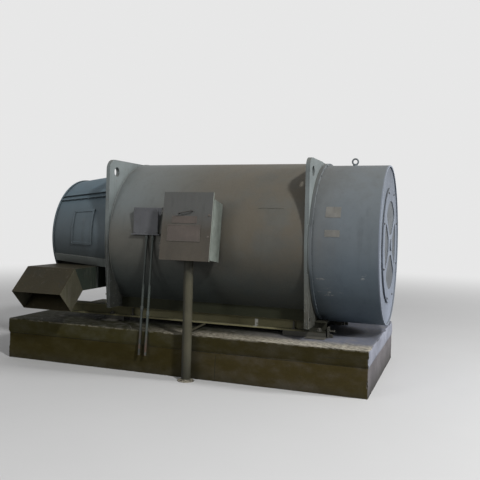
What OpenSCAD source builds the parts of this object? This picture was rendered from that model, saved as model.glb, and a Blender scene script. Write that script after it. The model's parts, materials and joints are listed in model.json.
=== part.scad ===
// Drive motor of a ball mill on its concrete foundation, with its air duct and its control box.
// Millimetres, +Z up. The origin is on the floor, under the shaft line, midway along the foundation.
// +X runs along the shaft, from the drive end towards the covered end, and -Y is the control side.

/* [Foundation] */
// Length of the foundation along the shaft
plinth_len = 4240; // [4200:10:4800]
// Height of the foundation's top above the floor
plinth_h = 462; // [400:1:600]
// Distance from the shaft line to the foundation's control side
plinth_front = 990; // [960:5:1010]
// Distance from the shaft line to the foundation's far side
plinth_rear = 1045; // [960:5:1200]
// Thickness of the top layer of concrete
slab_t = 168; // [80:1:250]
// How far the lower block stands back from the top layer
block_inset = 8; // [2:1:30]

/* [Casing] */
// Radius of the main casing and of the bolting flange at its covered end
casing_r = 900; // [860:1:1000]
// Gap between the casing and the foundation's top
casing_clear = 90; // [80:1:200]
// Distance between the two pairs of end plates
casing_len = 2269; // [2200:1:2340]
// Where the casing starts, measured from the middle of the foundation
casing_start = -831; // [-860:1:-800]
// Thickness of each end plate
plate_t = 22; // [14:1:30]
// How far the end plates stand out past the casing at its sides
plate_past = 18; // [5:1:60]
// How far the end plates stop below the casing's top
plate_under = 7; // [-40:1:30]
// How much an end plate narrows on each side towards its feet
plate_narrow = 80; // [0:1:120]
// Depth below the shaft line at which an end plate starts to taper
plate_taper_at = 45; // [0:5:200]
// Height of the drive end's feet above the foundation's top
foot_lift_drive = 190; // [180:1:220]
// Height of the covered end's feet above the foundation's top
foot_lift_cover = 135; // [110:1:160]
// Radius of an end plate's corners
plate_corner_r = 120; // [60:1:140]
// Radius of the holes in the covered end's feet
foot_hole_r = 25; // [10:1:30]
// Distance of the foot holes from the side of the foot
foot_hole_in = 38; // [34:1:70]
// Distance of the foot holes from the bottom of the foot
foot_hole_up = 87; // [40:1:110]
// Width of the relief around the bolting flange, in the covered end's outer plate
relief_w = 40; // [20:1:60]
// Depth of the relief
relief_depth = 14; // [4:1:18]
// Radius of the lifting holes in the end plates
lift_hole_r = 54; // [35:1:60]
// Distance of the lifting holes from an end plate's side
lift_hole_in = 153; // [130:1:180]
// Distance of the lifting holes from an end plate's top
lift_hole_down = 137; // [110:1:160]

/* [Feet and rails] */
// Distance from the shaft line to the outer face of a base rail
rail_y = 522; // [500:1:560]
// Width of a base rail
rail_w = 130; // [90:1:134]
// Height of a base rail
rail_h = 125; // [100:1:135]
// Gap between the foundation and a base rail, filled by sole plates at the feet
rail_gap = 50; // [30:1:60]
// Thickness of a base rail's flanges
rail_flange_t = 16; // [8:1:24]
// Thickness of a base rail's web
rail_web_t = 20; // [10:1:40]
// How far the base rails run past the casing at the drive end
rail_over_drive = 834; // [700:2:1000]
// How far the base rails run past the casing at the covered end
rail_over_cover = 155; // [120:5:300]
// How far the casing's foot bars reach up past the casing's surface at their outer face
foot_bar_over = 21.5; // [5:0.5:40]
// How far the foot bars stand out past the rails
foot_bar_lip = 48; // [20:1:60]
// Length of the sole plates under the drive end
sole_len_drive = 248; // [150:1:350]
// How far the drive end's sole plates reach past its end plates
sole_past_drive = 40; // [0:1:80]
// Length of the sole plates under the covered end
sole_len_cover = 468; // [200:1:500]

/* [Covered end] */
// Length of the covered end's housing
housing_len = 697; // [600:1:800]
// Wall of the covered end's housing
housing_wall = 16; // [8:1:30]
// Thickness of the bolting flange at the housing's foot
flange_t = 26; // [12:1:40]
// How far the bolting flange stands out past the housing
flange_lap = 24; // [15:1:40]
// How far the housing's rim stands past the cover's outer ring
rim_depth = 14; // [5:1:40]
// Thickness of the cover's outer ring
ring_t = 30; // [15:1:40]
// Radius of the cover disc, which stands proud of the ring
cover_r = 630; // [560:1:700]
// Thickness of the cover disc
cover_t = 10; // [6:1:16]
// How far the cover disc and its screen overlap the ring
cover_seat = 34; // [20:1:50]
// Thickness of the screen that closes the windows from behind
screen_t = 9; // [4:1:20]
// How far the screen's edge stands back from the cover disc's edge
screen_inset = 4; // [0:1:12]
// Radius to which the cover's windows reach
window_r = 485; // [420:1:520]
// Width of the cover's four spokes
spoke_w = 76; // [50:1:120]
// Angle of the spokes above the horizontal
spoke_deg = 36; // [30:1:45]
// Half the height of the hub, between the upper and the lower window
hub_half_h = 114; // [90:1:140]
// Half the width of the hub, between the windows at the sides
hub_half_w = 165; // [140:1:200]
// Radius of the corners of the cover's windows
window_corner_r = 46; // [15:1:60]
// Radius of the cap on the cover's hub
hub_cap_r = 62; // [30:1:80]
// Thickness of the cap on the cover's hub
hub_cap_t = 15; // [15:1:25]
// Distance from the end plates to the lifting eye
eye_at = 300; // [200:1:400]
// Radius of the lifting eye's ring
eye_r = 32; // [24:1:45]
// Radius of the lifting eye's bar
eye_bar_r = 9; // [6:1:12]
// Radius of the lifting eye's collar
eye_collar_r = 26; // [18:1:35]
// Height of the lifting eye's collar
eye_collar_h = 14; // [10:1:20]

/* [Drive end] */
// How much smaller the drive end's cover is than the casing where they meet
bell_step = 78; // [60:1:100]
// Radius of the drive end's cover at the shaft end
bell_r_small = 698; // [670:1:720]
// Length of the drive end's cover
bell_len = 844; // [760:1:900]
// Thickness of the drive end's cover
bell_wall = 14; // [6:1:25]
// Angle below the horizontal at which the drive end's cover stops
bell_drop_deg = 24; // [20:0.5:24]
// Angle above the horizontal of the seams in the drive end's cover
seam_deg = 41; // [35:1:55]
// Angle between the two strips of a seam
seam_pitch = 5; // [3:0.5:8]
// Angle that one seam strip covers
seam_w = 1; // [0.5:0.1:2]
// Thickness of the seam strips
seam_h = 24; // [12:1:30]
// Thickness of the bands on the cover's lower edges
lip_h = 14; // [8:1:20]
// Angle that a band on a lower edge covers
lip_w = 6; // [3:0.5:9]
// Angle that a band reaches past the cover's lower edge
lip_turn = 1.2; // [0.6:0.1:1.4]
// Distance from the end plates to an inspection panel
panel_start = 260; // [200:1:320]
// Length of an inspection panel along the shaft
panel_len = 310; // [250:1:360]
// Angle of an inspection panel's lower edge above the horizontal
panel_low = -7; // [-12:0.5:0]
// Angle of an inspection panel's upper edge above the horizontal
panel_high = 24; // [18:0.5:30]
// Width of an inspection panel's rim
panel_rim = 25; // [15:1:40]
// Height of an inspection panel's rim
panel_rim_h = 16; // [10:1:24]
// Thickness of an inspection panel inside its rim
panel_t = 7; // [4:1:9]
// Angle that a panel's lower and upper rim each cover
panel_rim_w = 2; // [1:0.1:3]
// Radius of the drive end's inner barrel
barrel_r = 640; // [600:1:655]
// Thickness of the end shield
shield_t = 22; // [14:1:30]
// How far the end shield stands out past the drive end's cover
shield_lip = 12; // [4:1:20]
// Number of ribs on the end shield
rib_count = 8; // [4:1:12]
// Thickness of a rib
rib_t = 18; // [10:1:26]
// How far a rib stands out from the end shield at the bearing
rib_h = 95; // [50:1:125]
// How far a rib's outer end stays inside the end shield's edge
rib_short = 78; // [60:1:160]
// Radius of the bearing housing
bearing_r = 250; // [200:1:320]
// Length of the bearing housing past the end shield
bearing_len = 130; // [80:1:180]
// Radius of the shaft's free end
shaft_r = 100; // [60:1:130]
// Length of the shaft's free end
shaft_len = 240; // [150:1:270]
// How much thicker the shaft is in its bearing
shaft_step = 12; // [4:1:20]

/* [Air duct] */
// Width of the air duct along the shaft
duct_w = 630; // [400:1:640]
// Distance from the end plates to the duct's near wall
duct_start = 205; // [150:1:250]
// Depth of the duct's top below the shaft line
duct_top = 346; // [344:1:380]
// Height of the duct's level neck
duct_h = 255; // [200:1:280]
// Distance from the shaft line to the duct's bend
duct_reach = 1179; // [1100:1:1250]
// Length of the duct's slanted spout along its upper side
spout_len = 365; // [250:1:400]
// Depth of the duct's slanted spout
spout_h = 294; // [260:1:330]
// Thickness of the duct's sheet
duct_wall = 6; // [3:1:12]

/* [Control box] */
// Width of the control box
box_w = 560; // [480:1:640]
// Distance from the casing's start to the middle of the control box
box_at = 1080; // [1000:1:1200]
// Height of the control box's underside above the floor
box_z = 1254; // [1100:1:1300]
// How far the control box leans back
box_tilt = 8; // [0:0.5:8]
// Height of the control box's back
box_h_back = 620; // [560:1:640]
// How much higher the roof is at the front
roof_rise = 12; // [0:1:40]
// Depth of the control box without its door
box_d = 242; // [180:1:260]
// Distance from the control box's back, at its underside, to the casing's widest point
box_clear = 47; // [45:1:90]
// Thickness of the control box's sheet
box_wall = 5; // [3:1:10]
// Thickness of the door
door_t = 22; // [12:1:24]
// Height of the door
door_h = 714; // [660:1:740]
// How far the door hangs below the box's underside
door_drop = 14; // [0:1:30]
// Gap between the closed door and the box
door_gap = 6; // [6:1:10]
// Radius of the post
post_r = 50; // [35:1:60]
// Radius of the post's foot
post_foot_r = 68; // [60:1:90]
// Thickness of the post's foot
post_foot_t = 14; // [8:1:20]
// Radius of the tie rod from the post to the rail
tie_r = 12; // [8:1:16]
// How far the tie rod runs to the side
tie_turn = 53; // [0:1:120]
// How far the tie rod reaches in under the rail
tie_under = 43; // [20:1:60]
// Length of the door's handle
handle_len = 160; // [120:1:200]
// Radius of the handle's bar
handle_r = 6; // [5:1:9]
// How far the handle stands off the door
handle_off = 34; // [25:1:45]
// Height of the handle above the box's underside
handle_z = 470; // [430:1:520]
// How far the handle's right end is turned up
handle_turn = 11; // [0:1:20]
// How far the handle starts to the left of the box's middle
handle_at = 89; // [40:1:120]
// Radius of the hinges' knuckles
hinge_r = 7; // [6:0.5:9]
// Distance from the box's side to the hinges' axis
hinge_off = 12; // [10:0.5:14]
// Radius of the hinges' pins
hinge_pin_r = 4; // [3:0.5:4.5]
// Height of one hinge knuckle
hinge_h = 22; // [16:1:30]
// Height of the lower hinge above the box's underside
hinge_low_at = 130; // [100:5:200]
// Height of the upper hinge above the box's underside
hinge_high_at = 500; // [400:5:520]

/* [Terminal box] */
// Width of the terminal box
tbox_w = 297; // [220:1:360]
// Height of the terminal box
tbox_h = 288; // [220:1:330]
// Distance from the casing's start to the terminal box
tbox_at = 327; // [280:1:360]
// Height of the terminal box's underside above the shaft line
tbox_z = 60; // [40:1:100]
// How far the terminal box's face stands out past the casing
tbox_out = 27; // [15:1:60]
// Thickness of the terminal box's cover
tbox_cover_t = 8; // [5:1:12]
// Thickness of the gland plate under the terminal box
gland_t = 12; // [8:1:16]
// How far the gland plate stands out past the terminal box
gland_lip = 25; // [10:1:40]
// Radius of the two cable conduits
conduit_r = 13; // [8:1:16]
// Distance from the terminal box's edge to the first conduit
conduit_at = 162; // [120:1:180]
// Distance between the two conduits
conduit_pitch = 76; // [50:1:90]
// Depth of the conduits' lower ends below the foundation's top
conduit_drop = 262; // [200:1:300]
// How far the conduits lean out on their way down
conduit_lean = 112; // [110:1:130]

/* [Hidden] */
$fn = 240;

// Seats between round faces
seat = 0.3;
shaft_h = casing_r + casing_clear;
axis_z = plinth_h + shaft_h;
casing_end = casing_start + casing_len;
plates_t = 2 * plate_t;
drive_x = casing_start - plates_t;
cover_x = casing_end + plates_t;
rail_top = plinth_h + rail_gap + rail_h;
rail_start = casing_start - rail_over_drive;
rail_end = casing_end + rail_over_cover;
flange_r = casing_r;
housing_r = flange_r - flange_lap;
plate_half_w = casing_r + plate_past;
plate_foot_w = plate_half_w - plate_narrow;
plate_top = casing_r - plate_under;

concrete = "#8d8478";
steel_green = "#5f6660";
steel_pale = "#8f9aa0";
steel_brown = "#6d5f56";

// Turns an axis along Z into one along X, on the shaft line, starting at x
module on_shaft(x) {
    translate([x, 0, axis_z]) rotate([0, 90, 0]) children();
}

module shaft_ring(x, length, r_out, r_in) {
    on_shaft(x) difference() {
        cylinder(h = length, r = r_out);
        translate([0, 0, -1]) cylinder(h = length + 2, r = r_in);
    }
}

module plinth_block() {
    in = block_inset;
    color(concrete)
    translate([-plinth_len / 2 + in, -plinth_front + in, 0])
        cube([plinth_len - 2 * in, plinth_front + plinth_rear - 2 * in, plinth_h - slab_t]);
}

module plinth_slab() {
    color(concrete)
    translate([-plinth_len / 2, -plinth_front, plinth_h - slab_t])
        cube([plinth_len, plinth_front + plinth_rear, slab_t]);
}

// Flat packers that carry the rails at the feet
module sole_plates() {
    color(steel_brown)
    for (side = [-1, 1], at = [[drive_x + sole_past_drive - sole_len_drive, sole_len_drive],
        [rail_end - sole_len_cover, sole_len_cover]])
        translate([at[0], side * (rail_y - rail_w / 2) - rail_w / 2, plinth_h])
            cube([at[1], rail_w, rail_gap]);
}

module rail_profile() {
    square([rail_w, rail_flange_t]);
    translate([0, rail_h - rail_flange_t]) square([rail_w, rail_flange_t]);
    translate([(rail_w - rail_web_t) / 2, 0]) square([rail_web_t, rail_h]);
}

module base_rail(side) {
    color(steel_brown)
    translate([rail_start, side * (rail_y - rail_w / 2) - rail_w / 2, plinth_h + rail_gap])
        rotate([90, 0, 90]) linear_extrude(rail_end - rail_start) rail_profile();
}

module base_rail_front() { base_rail(-1); }
module base_rail_rear() { base_rail(1); }

// Bar along the casing's foot, hollowed to the casing's curve
module foot_bar(side) {
    outer_y = rail_y + foot_bar_lip;
    bar_w = rail_w + foot_bar_lip;
    bar_top = axis_z - sqrt(pow(casing_r, 2) - pow(outer_y, 2)) + foot_bar_over;
    color(steel_green)
    difference() {
        translate([casing_start, side * (outer_y - bar_w / 2) - bar_w / 2, rail_top])
            cube([casing_len, bar_w, bar_top - rail_top]);
        on_shaft(casing_start - 1) cylinder(h = casing_len + 2, r = casing_r + seat);
    }
}

module foot_bar_front() { foot_bar(-1); }
module foot_bar_rear() { foot_bar(1); }

module casing() {
    color(steel_green)
    on_shaft(casing_start) cylinder(h = casing_len, r = casing_r);
}

// Outline of an end plate, seen along the shaft: it tapers below, and its feet straddle the rails
module plate_outline(foot_lift) {
    corner = plate_corner_r;
    foot_in = rail_y + foot_bar_lip;
    foot_z = foot_lift - shaft_h;
    rail_z = rail_top - axis_z;
    hole_z = plate_top - lift_hole_down;
    difference() {
        union() {
            polygon([
                [-plate_half_w, plate_top - corner], [-plate_half_w, -plate_taper_at],
                [-plate_foot_w, foot_z], [-foot_in, foot_z], [-foot_in, rail_z],
                [foot_in, rail_z], [foot_in, foot_z], [plate_foot_w, foot_z],
                [plate_half_w, -plate_taper_at], [plate_half_w, plate_top - corner],
                [plate_half_w - corner, plate_top], [-plate_half_w + corner, plate_top]
            ]);
            for (side = [-1, 1])
                translate([side * (plate_half_w - corner), plate_top - corner]) circle(corner);
        }
        for (side = [-1, 1]) translate([side * (plate_half_w - lift_hole_in), hole_z]) circle(lift_hole_r);
    }
}

module end_plate(x, foot_lift) {
    color(steel_green)
    translate([x, 0, axis_z]) rotate([90, 0, 90]) linear_extrude(plate_t) plate_outline(foot_lift);
}

module bell_plate_drive() { end_plate(drive_x, foot_lift_drive); }
module frame_plate_drive() { end_plate(drive_x + plate_t, foot_lift_drive); }

// Removes the holes in the covered end's feet
module foot_holes() {
    difference() {
        children();
        for (side = [-1, 1])
            translate([0, side * (plate_foot_w - foot_hole_in), foot_lift_cover + foot_hole_up - shaft_h])
                on_shaft(casing_end - 1) cylinder(h = plates_t + 2, r = foot_hole_r);
    }
}

module frame_plate_cover() { foot_holes() end_plate(casing_end, foot_lift_cover); }

// Outer plate of the covered end, relieved in a ring around the bolting flange
module bell_plate_cover() {
    foot_holes() difference() {
        end_plate(casing_end + plate_t, foot_lift_cover);
        shaft_ring(cover_x - relief_depth, relief_depth + 1, flange_r + relief_w, flange_r);
    }
}

module housing_flange() {
    color(steel_green) shaft_ring(cover_x, flange_t, flange_r, housing_r + seat);
}

module cover_housing() {
    color(steel_green) shaft_ring(cover_x, housing_len, housing_r, housing_r - housing_wall);
}

ring_x = cover_x + housing_len - rim_depth - ring_t;
screen_x = ring_x + ring_t;
disc_x = screen_x + screen_t;

// Pale outer ring, set into the housing
module cover_ring() {
    color(steel_pale) shaft_ring(ring_x, ring_t, housing_r - housing_wall - seat, cover_r - cover_seat);
}

// Closes the windows from behind; its face lies as deep as the cover disc is thick
module window_screen() {
    color(steel_pale) on_shaft(screen_x) cylinder(h = screen_t, r = cover_r - screen_inset);
}

// Rounds off the corner of a window where the outer arc meets a spoke's edge
module window_corner() {
    half = spoke_w / 2;
    f = window_corner_r;
    cx = sqrt(pow(window_r - f, 2) - pow(half + f, 2));
    cy = half + f;
    past = 1.2 * window_r;
    out = past / (window_r - f);
    difference() {
        polygon([[cx, cy], [cx, half - 1], [past, half - 1], [cx * out, cy * out]]);
        translate([cx, cy]) circle(f);
    }
}

// Window round the X axis, between two spokes that leave the axis by an angle on either side.
// The hub's straight edge crosses the axis at a distance from the middle.
module window(spoke_from_axis, hub_edge) {
    tip = spoke_w / 2 / sin(spoke_from_axis);
    far_x = tip + window_r;
    far_y = window_r * tan(spoke_from_axis);
    difference() {
        intersection() {
            circle(window_r);
            polygon([[tip, 0], [far_x, far_y], [far_x, -far_y]]);
        }
        translate([0, -window_r]) square([hub_edge, 2 * window_r]);
        for (flip = [0, 1]) mirror([0, flip, 0]) rotate(spoke_from_axis) mirror([0, 1, 0]) window_corner();
    }
}

// Cover disc with four rounded windows between crossed spokes: one above, one below and one at each side
module end_cover() {
    color(steel_pale)
    on_shaft(disc_x) linear_extrude(cover_t) difference() {
        circle(cover_r);
        for (turn = [0, 180]) rotate(turn) window(90 - spoke_deg, hub_half_h);
        for (turn = [90, 270]) rotate(turn) window(spoke_deg, hub_half_w);
    }
}

module hub_cap() {
    color(steel_pale) on_shaft(disc_x + cover_t) cylinder(h = hub_cap_t, r = hub_cap_r);
}

module lifting_eye() {
    color(steel_green)
    translate([cover_x + eye_at, 0, axis_z + housing_r]) {
        difference() {
            translate([0, 0, -2]) cylinder(h = eye_collar_h + 2, r = eye_collar_r);
            translate([0, 0, -housing_r]) rotate([0, 90, 0])
                cylinder(h = 4 * eye_collar_r, r = housing_r + seat, center = true);
        }
        translate([0, 0, eye_collar_h + eye_r]) rotate([90, 0, 0])
            rotate_extrude() translate([eye_r, 0]) circle(eye_bar_r, $fn = 32);
    }
}

module inner_barrel() {
    color(steel_brown)
    on_shaft(drive_x - bell_len) cylinder(h = bell_len, r = barrel_r);
}

bell_r_big = casing_r - bell_step;
function bell_r(back) = bell_r_big - (bell_r_big - bell_r_small) * back / bell_len;

// Part of a coaxial cone that follows the drive end's cover.
// from and to are angles above the horizontal on the control side, and near and far are
// distances behind the end plates; low and high are heights over the cover's outer face.
module cone_band(from, to, near, far, low, high) {
    translate([drive_x, 0, axis_z]) rotate([0, -90, 0]) rotate([0, 0, 270 + from])
        rotate_extrude(angle = to - from)
            polygon([[bell_r(near) + low, near], [bell_r(near) + high, near],
                [bell_r(far) + high, far], [bell_r(far) + low, far]]);
}

module on_both_sides() {
    children();
    mirror([0, 1, 0]) children();
}

module drive_cover() {
    color(steel_green)
    cone_band(-bell_drop_deg, 180 + bell_drop_deg, 0, bell_len, -bell_wall, 0);
}

// Paired strips that bolt the cover's sheets together
module cover_seams() {
    color(steel_green)
    on_both_sides() for (from = [seam_deg, seam_deg - seam_pitch])
        cone_band(from, from + seam_w, 0, bell_len, seat, seam_h);
}

// Bands that stiffen the cover's lower edges
module cover_lips() {
    edge = -bell_drop_deg;
    color(steel_green)
    on_both_sides() {
        cone_band(edge, edge + lip_w, 0, bell_len, seat, lip_h);
        cone_band(edge - lip_turn, edge, 0, bell_len, barrel_r + seat - bell_r_small, lip_h);
    }
}

// Curved panel with a raised rim
module inspection_panel() {
    color(steel_green) difference() {
        cone_band(panel_low, panel_high, panel_start, panel_start + panel_len, seat, panel_rim_h);
        cone_band(panel_low + panel_rim_w, panel_high - panel_rim_w, panel_start + panel_rim,
            panel_start + panel_len - panel_rim, panel_t, panel_rim_h + 1);
    }
}

module inspection_panel_front() { inspection_panel(); }
module inspection_panel_rear() { mirror([0, 1, 0]) inspection_panel(); }

shield_x = drive_x - bell_len - shield_t;
shield_r = bell_r_small + shield_lip;

// Round plate with ribs that taper outwards from the bearing housing
module end_shield() {
    color(steel_green) {
        on_shaft(shield_x) cylinder(h = shield_t, r = shield_r);
        for (k = [0:rib_count - 1]) translate([0, 0, axis_z]) rotate([360 / rib_count * (k + 0.5), 0, 0])
            rotate([90, 0, 0]) translate([shield_x, 0, -rib_t / 2]) linear_extrude(rib_t)
                polygon([[1, bearing_r + seat], [-rib_h, bearing_r + seat], [-rib_h, bearing_r + rib_t],
                    [-rib_t, shield_r - rib_short], [1, shield_r - rib_short]]);
    }
}

module bearing_housing() {
    color(steel_brown)
    shaft_ring(shield_x - bearing_len, bearing_len, bearing_r, shaft_r + shaft_step + seat);
}

// Shaft, a little thicker where it runs in the bearing
module shaft() {
    free_x = shield_x - bearing_len;
    color(steel_pale) {
        on_shaft(free_x - shaft_len) cylinder(h = shaft_len, r = shaft_r);
        on_shaft(free_x) cylinder(h = bearing_len, r = shaft_r + shaft_step);
    }
}

duct_z = axis_z - duct_top;
duct_near_x = drive_x - duct_start;
duct_root_y = -barrel_r / 4;
// Corners of the bend and of the spout's mouth, as [y, z]
bend_top = [-duct_reach, duct_z];
bend_low = [-duct_reach + spout_h * sqrt(2) - duct_h, duct_z - duct_h];
spout_dir = [-1, -1] / sqrt(2);
spout_in = [1, -1] / sqrt(2);
mouth_top = bend_top + spout_len * spout_dir;
mouth_low = mouth_top + spout_h * spout_in;

// Runs a side outline along the shaft, from the duct's near wall
module along_duct(wall) {
    translate([duct_near_x - duct_w + wall, 0, 0]) rotate([90, 0, 90])
        linear_extrude(duct_w - 2 * wall) children();
}

// Level part of the duct, from the barrel to the mitred bend
module duct_neck() {
    inner = [0, -duct_wall];
    past = [-duct_h, 0];
    color(steel_brown) difference() {
        along_duct(0) polygon([[duct_root_y, duct_z], bend_top, bend_low, [duct_root_y, duct_z - duct_h]]);
        along_duct(duct_wall) polygon([[0, duct_z] + inner, bend_top + inner + past,
            bend_low - inner + past, [0, duct_z - duct_h] - inner]);
        on_shaft(drive_x - bell_len) cylinder(h = bell_len, r = barrel_r + seat);
    }
}

// Slanted part of the duct, open at its mouth
module duct_spout() {
    inner = duct_wall * spout_in;
    past = duct_h * spout_dir;
    color(steel_brown) difference() {
        along_duct(0) polygon([bend_top, mouth_top, mouth_low, bend_low]);
        along_duct(duct_wall) polygon([bend_top + inner - past, mouth_top + inner + past,
            mouth_low - inner + past, bend_low - inner - past]);
    }
}

box_x = casing_start + box_at - box_w / 2;
box_back = -casing_r - box_clear;
box_front = box_back - box_d;
post_y = box_back - (box_d + door_t + door_gap) / 2;
door_y = box_front - door_gap - door_t;

// Leans a piece back with the control box, about the top of its post
module leaning() {
    translate([0, post_y, box_z]) rotate([-box_tilt, 0, 0]) translate([0, -post_y, -box_z]) children();
}

module post_foot() {
    color(steel_brown)
    translate([casing_start + box_at, post_y, 0]) cylinder(h = post_foot_t, r = post_foot_r);
}

module control_post() {
    color(steel_brown) difference() {
        translate([casing_start + box_at, post_y, post_foot_t]) cylinder(h = box_z, r = post_r);
        leaning() translate([box_x, box_front, box_z]) cube([box_w, box_d, box_h_back]);
    }
}

// Rod that ties the post to the underside of the base rail
module post_tie() {
    reach = tie_under - rail_y - post_y;
    color(steel_brown) difference() {
        translate([casing_start + box_at, post_y, plinth_h + rail_gap - tie_r - seat])
            rotate([-90, 0, atan2(tie_turn, reach)]) cylinder(h = norm([reach, tie_turn]), r = tie_r);
        translate([casing_start + box_at, post_y, 0]) cylinder(h = box_z, r = post_r + seat);
    }
}

// Side outline of the box, drawn in from its outer face
module box_side(in, front) {
    slope = roof_rise / box_d;
    back_top = box_z + box_h_back - in;
    polygon([[box_back - in, box_z + in], [box_front - front, box_z + in],
        [box_front - front, back_top + roof_rise + slope * front], [box_back - in, back_top]]);
}

module control_box() {
    color(steel_brown) leaning() difference() {
        translate([box_x, 0, 0]) rotate([90, 0, 90]) linear_extrude(box_w) box_side(0, 0);
        translate([box_x + box_wall, 0, 0]) rotate([90, 0, 90])
            linear_extrude(box_w - 2 * box_wall) box_side(box_wall, 1);
    }
}

hinge_x = box_x - hinge_off;
hinge_y = door_y + door_t / 2;
hinge_low = box_z + hinge_low_at;
hinge_high = box_z + hinge_high_at;
leaf_t = 6;
play = 1;

// Fixed halves of the two hinges, with their pins
module box_hinges() {
    leaf_y = box_front - hinge_y + play;
    leaf_len = 3 * hinge_r;
    color(steel_brown) leaning()
    for (z = [hinge_low, hinge_high]) {
        translate([hinge_x, hinge_y, z - 1.5 * hinge_h]) cylinder(h = 3 * hinge_h, r = hinge_pin_r);
        for (dz = [-1, 1]) translate([hinge_x, hinge_y, z + dz * hinge_h - hinge_h / 2]) {
            cylinder(h = hinge_h, r = hinge_r);
            cube([leaf_t, leaf_y + leaf_len, hinge_h]);
            translate([0, leaf_y, 0]) cube([hinge_off, leaf_len, hinge_h]);
        }
    }
}

module control_box_door() {
    knuckle_h = hinge_h - 2 * play;
    color(steel_brown) leaning() {
        difference() {
            translate([box_x, door_y, box_z - door_drop]) cube([box_w, door_t, door_h]);
            translate([box_x + box_wall, door_y + box_wall, box_z - door_drop + box_wall])
                cube([box_w - 2 * box_wall, door_t, door_h - 2 * box_wall]);
        }
        for (z = [hinge_low, hinge_high]) difference() {
            union() {
                translate([hinge_x, hinge_y, z - knuckle_h / 2]) cylinder(h = knuckle_h, r = hinge_r);
                translate([hinge_x, hinge_y - leaf_t / 2, z - knuckle_h / 2])
                    cube([hinge_off, leaf_t, knuckle_h]);
            }
            translate([hinge_x, hinge_y, z - hinge_h]) cylinder(h = 2 * hinge_h, r = hinge_pin_r + seat);
        }
    }
}

module door_handle() {
    end = handle_r + 4;
    color("#3a3734") leaning()
    translate([casing_start + box_at - handle_at, door_y, box_z + handle_z]) rotate([0, -handle_turn, 0]) {
        for (dx = [end, handle_len - end]) translate([dx, 0, 0]) rotate([90, 0, 0])
            cylinder(h = handle_off, r = handle_r - 1);
        translate([0, -handle_off, 0]) rotate([0, 90, 0]) cylinder(h = handle_len, r = handle_r);
    }
}

tbox_y = casing_r + tbox_out;
tbox_x = casing_start + tbox_at;
tbox_low = axis_z + tbox_z;
module terminal_box() {
    color(steel_green) difference() {
        translate([tbox_x, -tbox_y + tbox_cover_t, tbox_low]) cube([tbox_w, tbox_y, tbox_h]);
        on_shaft(casing_start) cylinder(h = casing_len, r = casing_r + seat);
        translate([tbox_x - 1, -casing_r / 2, axis_z]) cube([tbox_w + 2, casing_r, casing_r]);
    }
}

module terminal_cover() {
    color(steel_green) translate([tbox_x, -tbox_y, tbox_low]) cube([tbox_w, tbox_cover_t, tbox_h]);
}

module gland_plate() {
    color(steel_green) difference() {
        translate([tbox_x - gland_lip, -tbox_y - gland_t, tbox_low - gland_t])
            cube([tbox_w + 2 * gland_lip, tbox_y / 2, gland_t]);
        on_shaft(casing_start) cylinder(h = casing_len, r = casing_r + seat);
    }
}

// Two conduits that hang from the gland plate and pass in front of the foundation
module conduits() {
    low_z = plinth_h - conduit_drop;
    high_z = tbox_low - gland_t;
    lean = atan2(conduit_lean, high_z - low_z);
    run = norm([conduit_lean, high_z - low_z]);
    color(steel_green) difference() {
        for (dx = [conduit_at, conduit_at + conduit_pitch])
            translate([tbox_x + dx, -tbox_y + gland_t - conduit_lean, low_z])
                rotate([-lean, 0, 0]) cylinder(h = run + conduit_r, r = conduit_r);
        translate([tbox_x, -tbox_y - tbox_w, high_z]) cube([tbox_w, tbox_y, 2 * gland_t]);
    }
}

plinth_block();
plinth_slab();
sole_plates();
base_rail_front();
base_rail_rear();
foot_bar_front();
foot_bar_rear();
casing();
frame_plate_drive();
bell_plate_drive();
frame_plate_cover();
bell_plate_cover();
housing_flange();
cover_housing();
cover_ring();
window_screen();
end_cover();
hub_cap();
lifting_eye();
inner_barrel();
drive_cover();
cover_seams();
cover_lips();
inspection_panel_front();
inspection_panel_rear();
end_shield();
bearing_housing();
shaft();
duct_neck();
duct_spout();
control_post();
post_foot();
control_box();
box_hinges();
control_box_door();
door_handle();
terminal_box();
terminal_cover();
gland_plate();
conduits();
post_tie();
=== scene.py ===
"""Paint, dust, bolts, plates and rough concrete for a mill drive motor on its foundation.

Laid out as an add-on: the sizes and colours are properties, and each piece or group of like pieces is an operator.
"""

import json
import math
import random

import bmesh
import bpy
from mathutils import Matrix, Vector, noise


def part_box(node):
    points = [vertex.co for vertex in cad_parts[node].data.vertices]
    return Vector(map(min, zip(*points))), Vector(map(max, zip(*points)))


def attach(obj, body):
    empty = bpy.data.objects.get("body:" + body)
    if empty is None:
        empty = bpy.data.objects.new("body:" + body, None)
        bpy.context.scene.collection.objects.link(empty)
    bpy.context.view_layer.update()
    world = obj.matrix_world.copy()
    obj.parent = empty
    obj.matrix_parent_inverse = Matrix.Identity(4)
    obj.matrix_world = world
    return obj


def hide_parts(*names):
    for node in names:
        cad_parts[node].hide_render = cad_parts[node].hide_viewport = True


bl_info = {
    "name": "Mill drive motor finish",
    "version": (1, 0, 0),
    "blender": (4, 5, 0),
    "location": "3D View > Sidebar > Mill motor",
    "description": "Paint, dust, bolts, plates and rough concrete for a mill drive motor",
    "category": "Object",
}

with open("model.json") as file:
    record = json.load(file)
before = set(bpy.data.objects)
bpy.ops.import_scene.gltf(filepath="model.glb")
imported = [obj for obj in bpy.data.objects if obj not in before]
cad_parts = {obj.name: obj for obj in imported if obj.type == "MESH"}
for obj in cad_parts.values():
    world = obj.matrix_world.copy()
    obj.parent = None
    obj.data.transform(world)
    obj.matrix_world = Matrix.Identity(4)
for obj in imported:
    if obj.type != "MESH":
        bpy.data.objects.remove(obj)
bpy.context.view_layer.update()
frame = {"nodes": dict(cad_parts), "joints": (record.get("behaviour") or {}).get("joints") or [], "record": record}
MACHINE = "machine"
DOOR = "box_door"


def low(node):
    """Lowest corner of a CAD node."""
    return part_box(node)[0]


def high(node):
    """Highest corner of a CAD node."""
    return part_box(node)[1]


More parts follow.
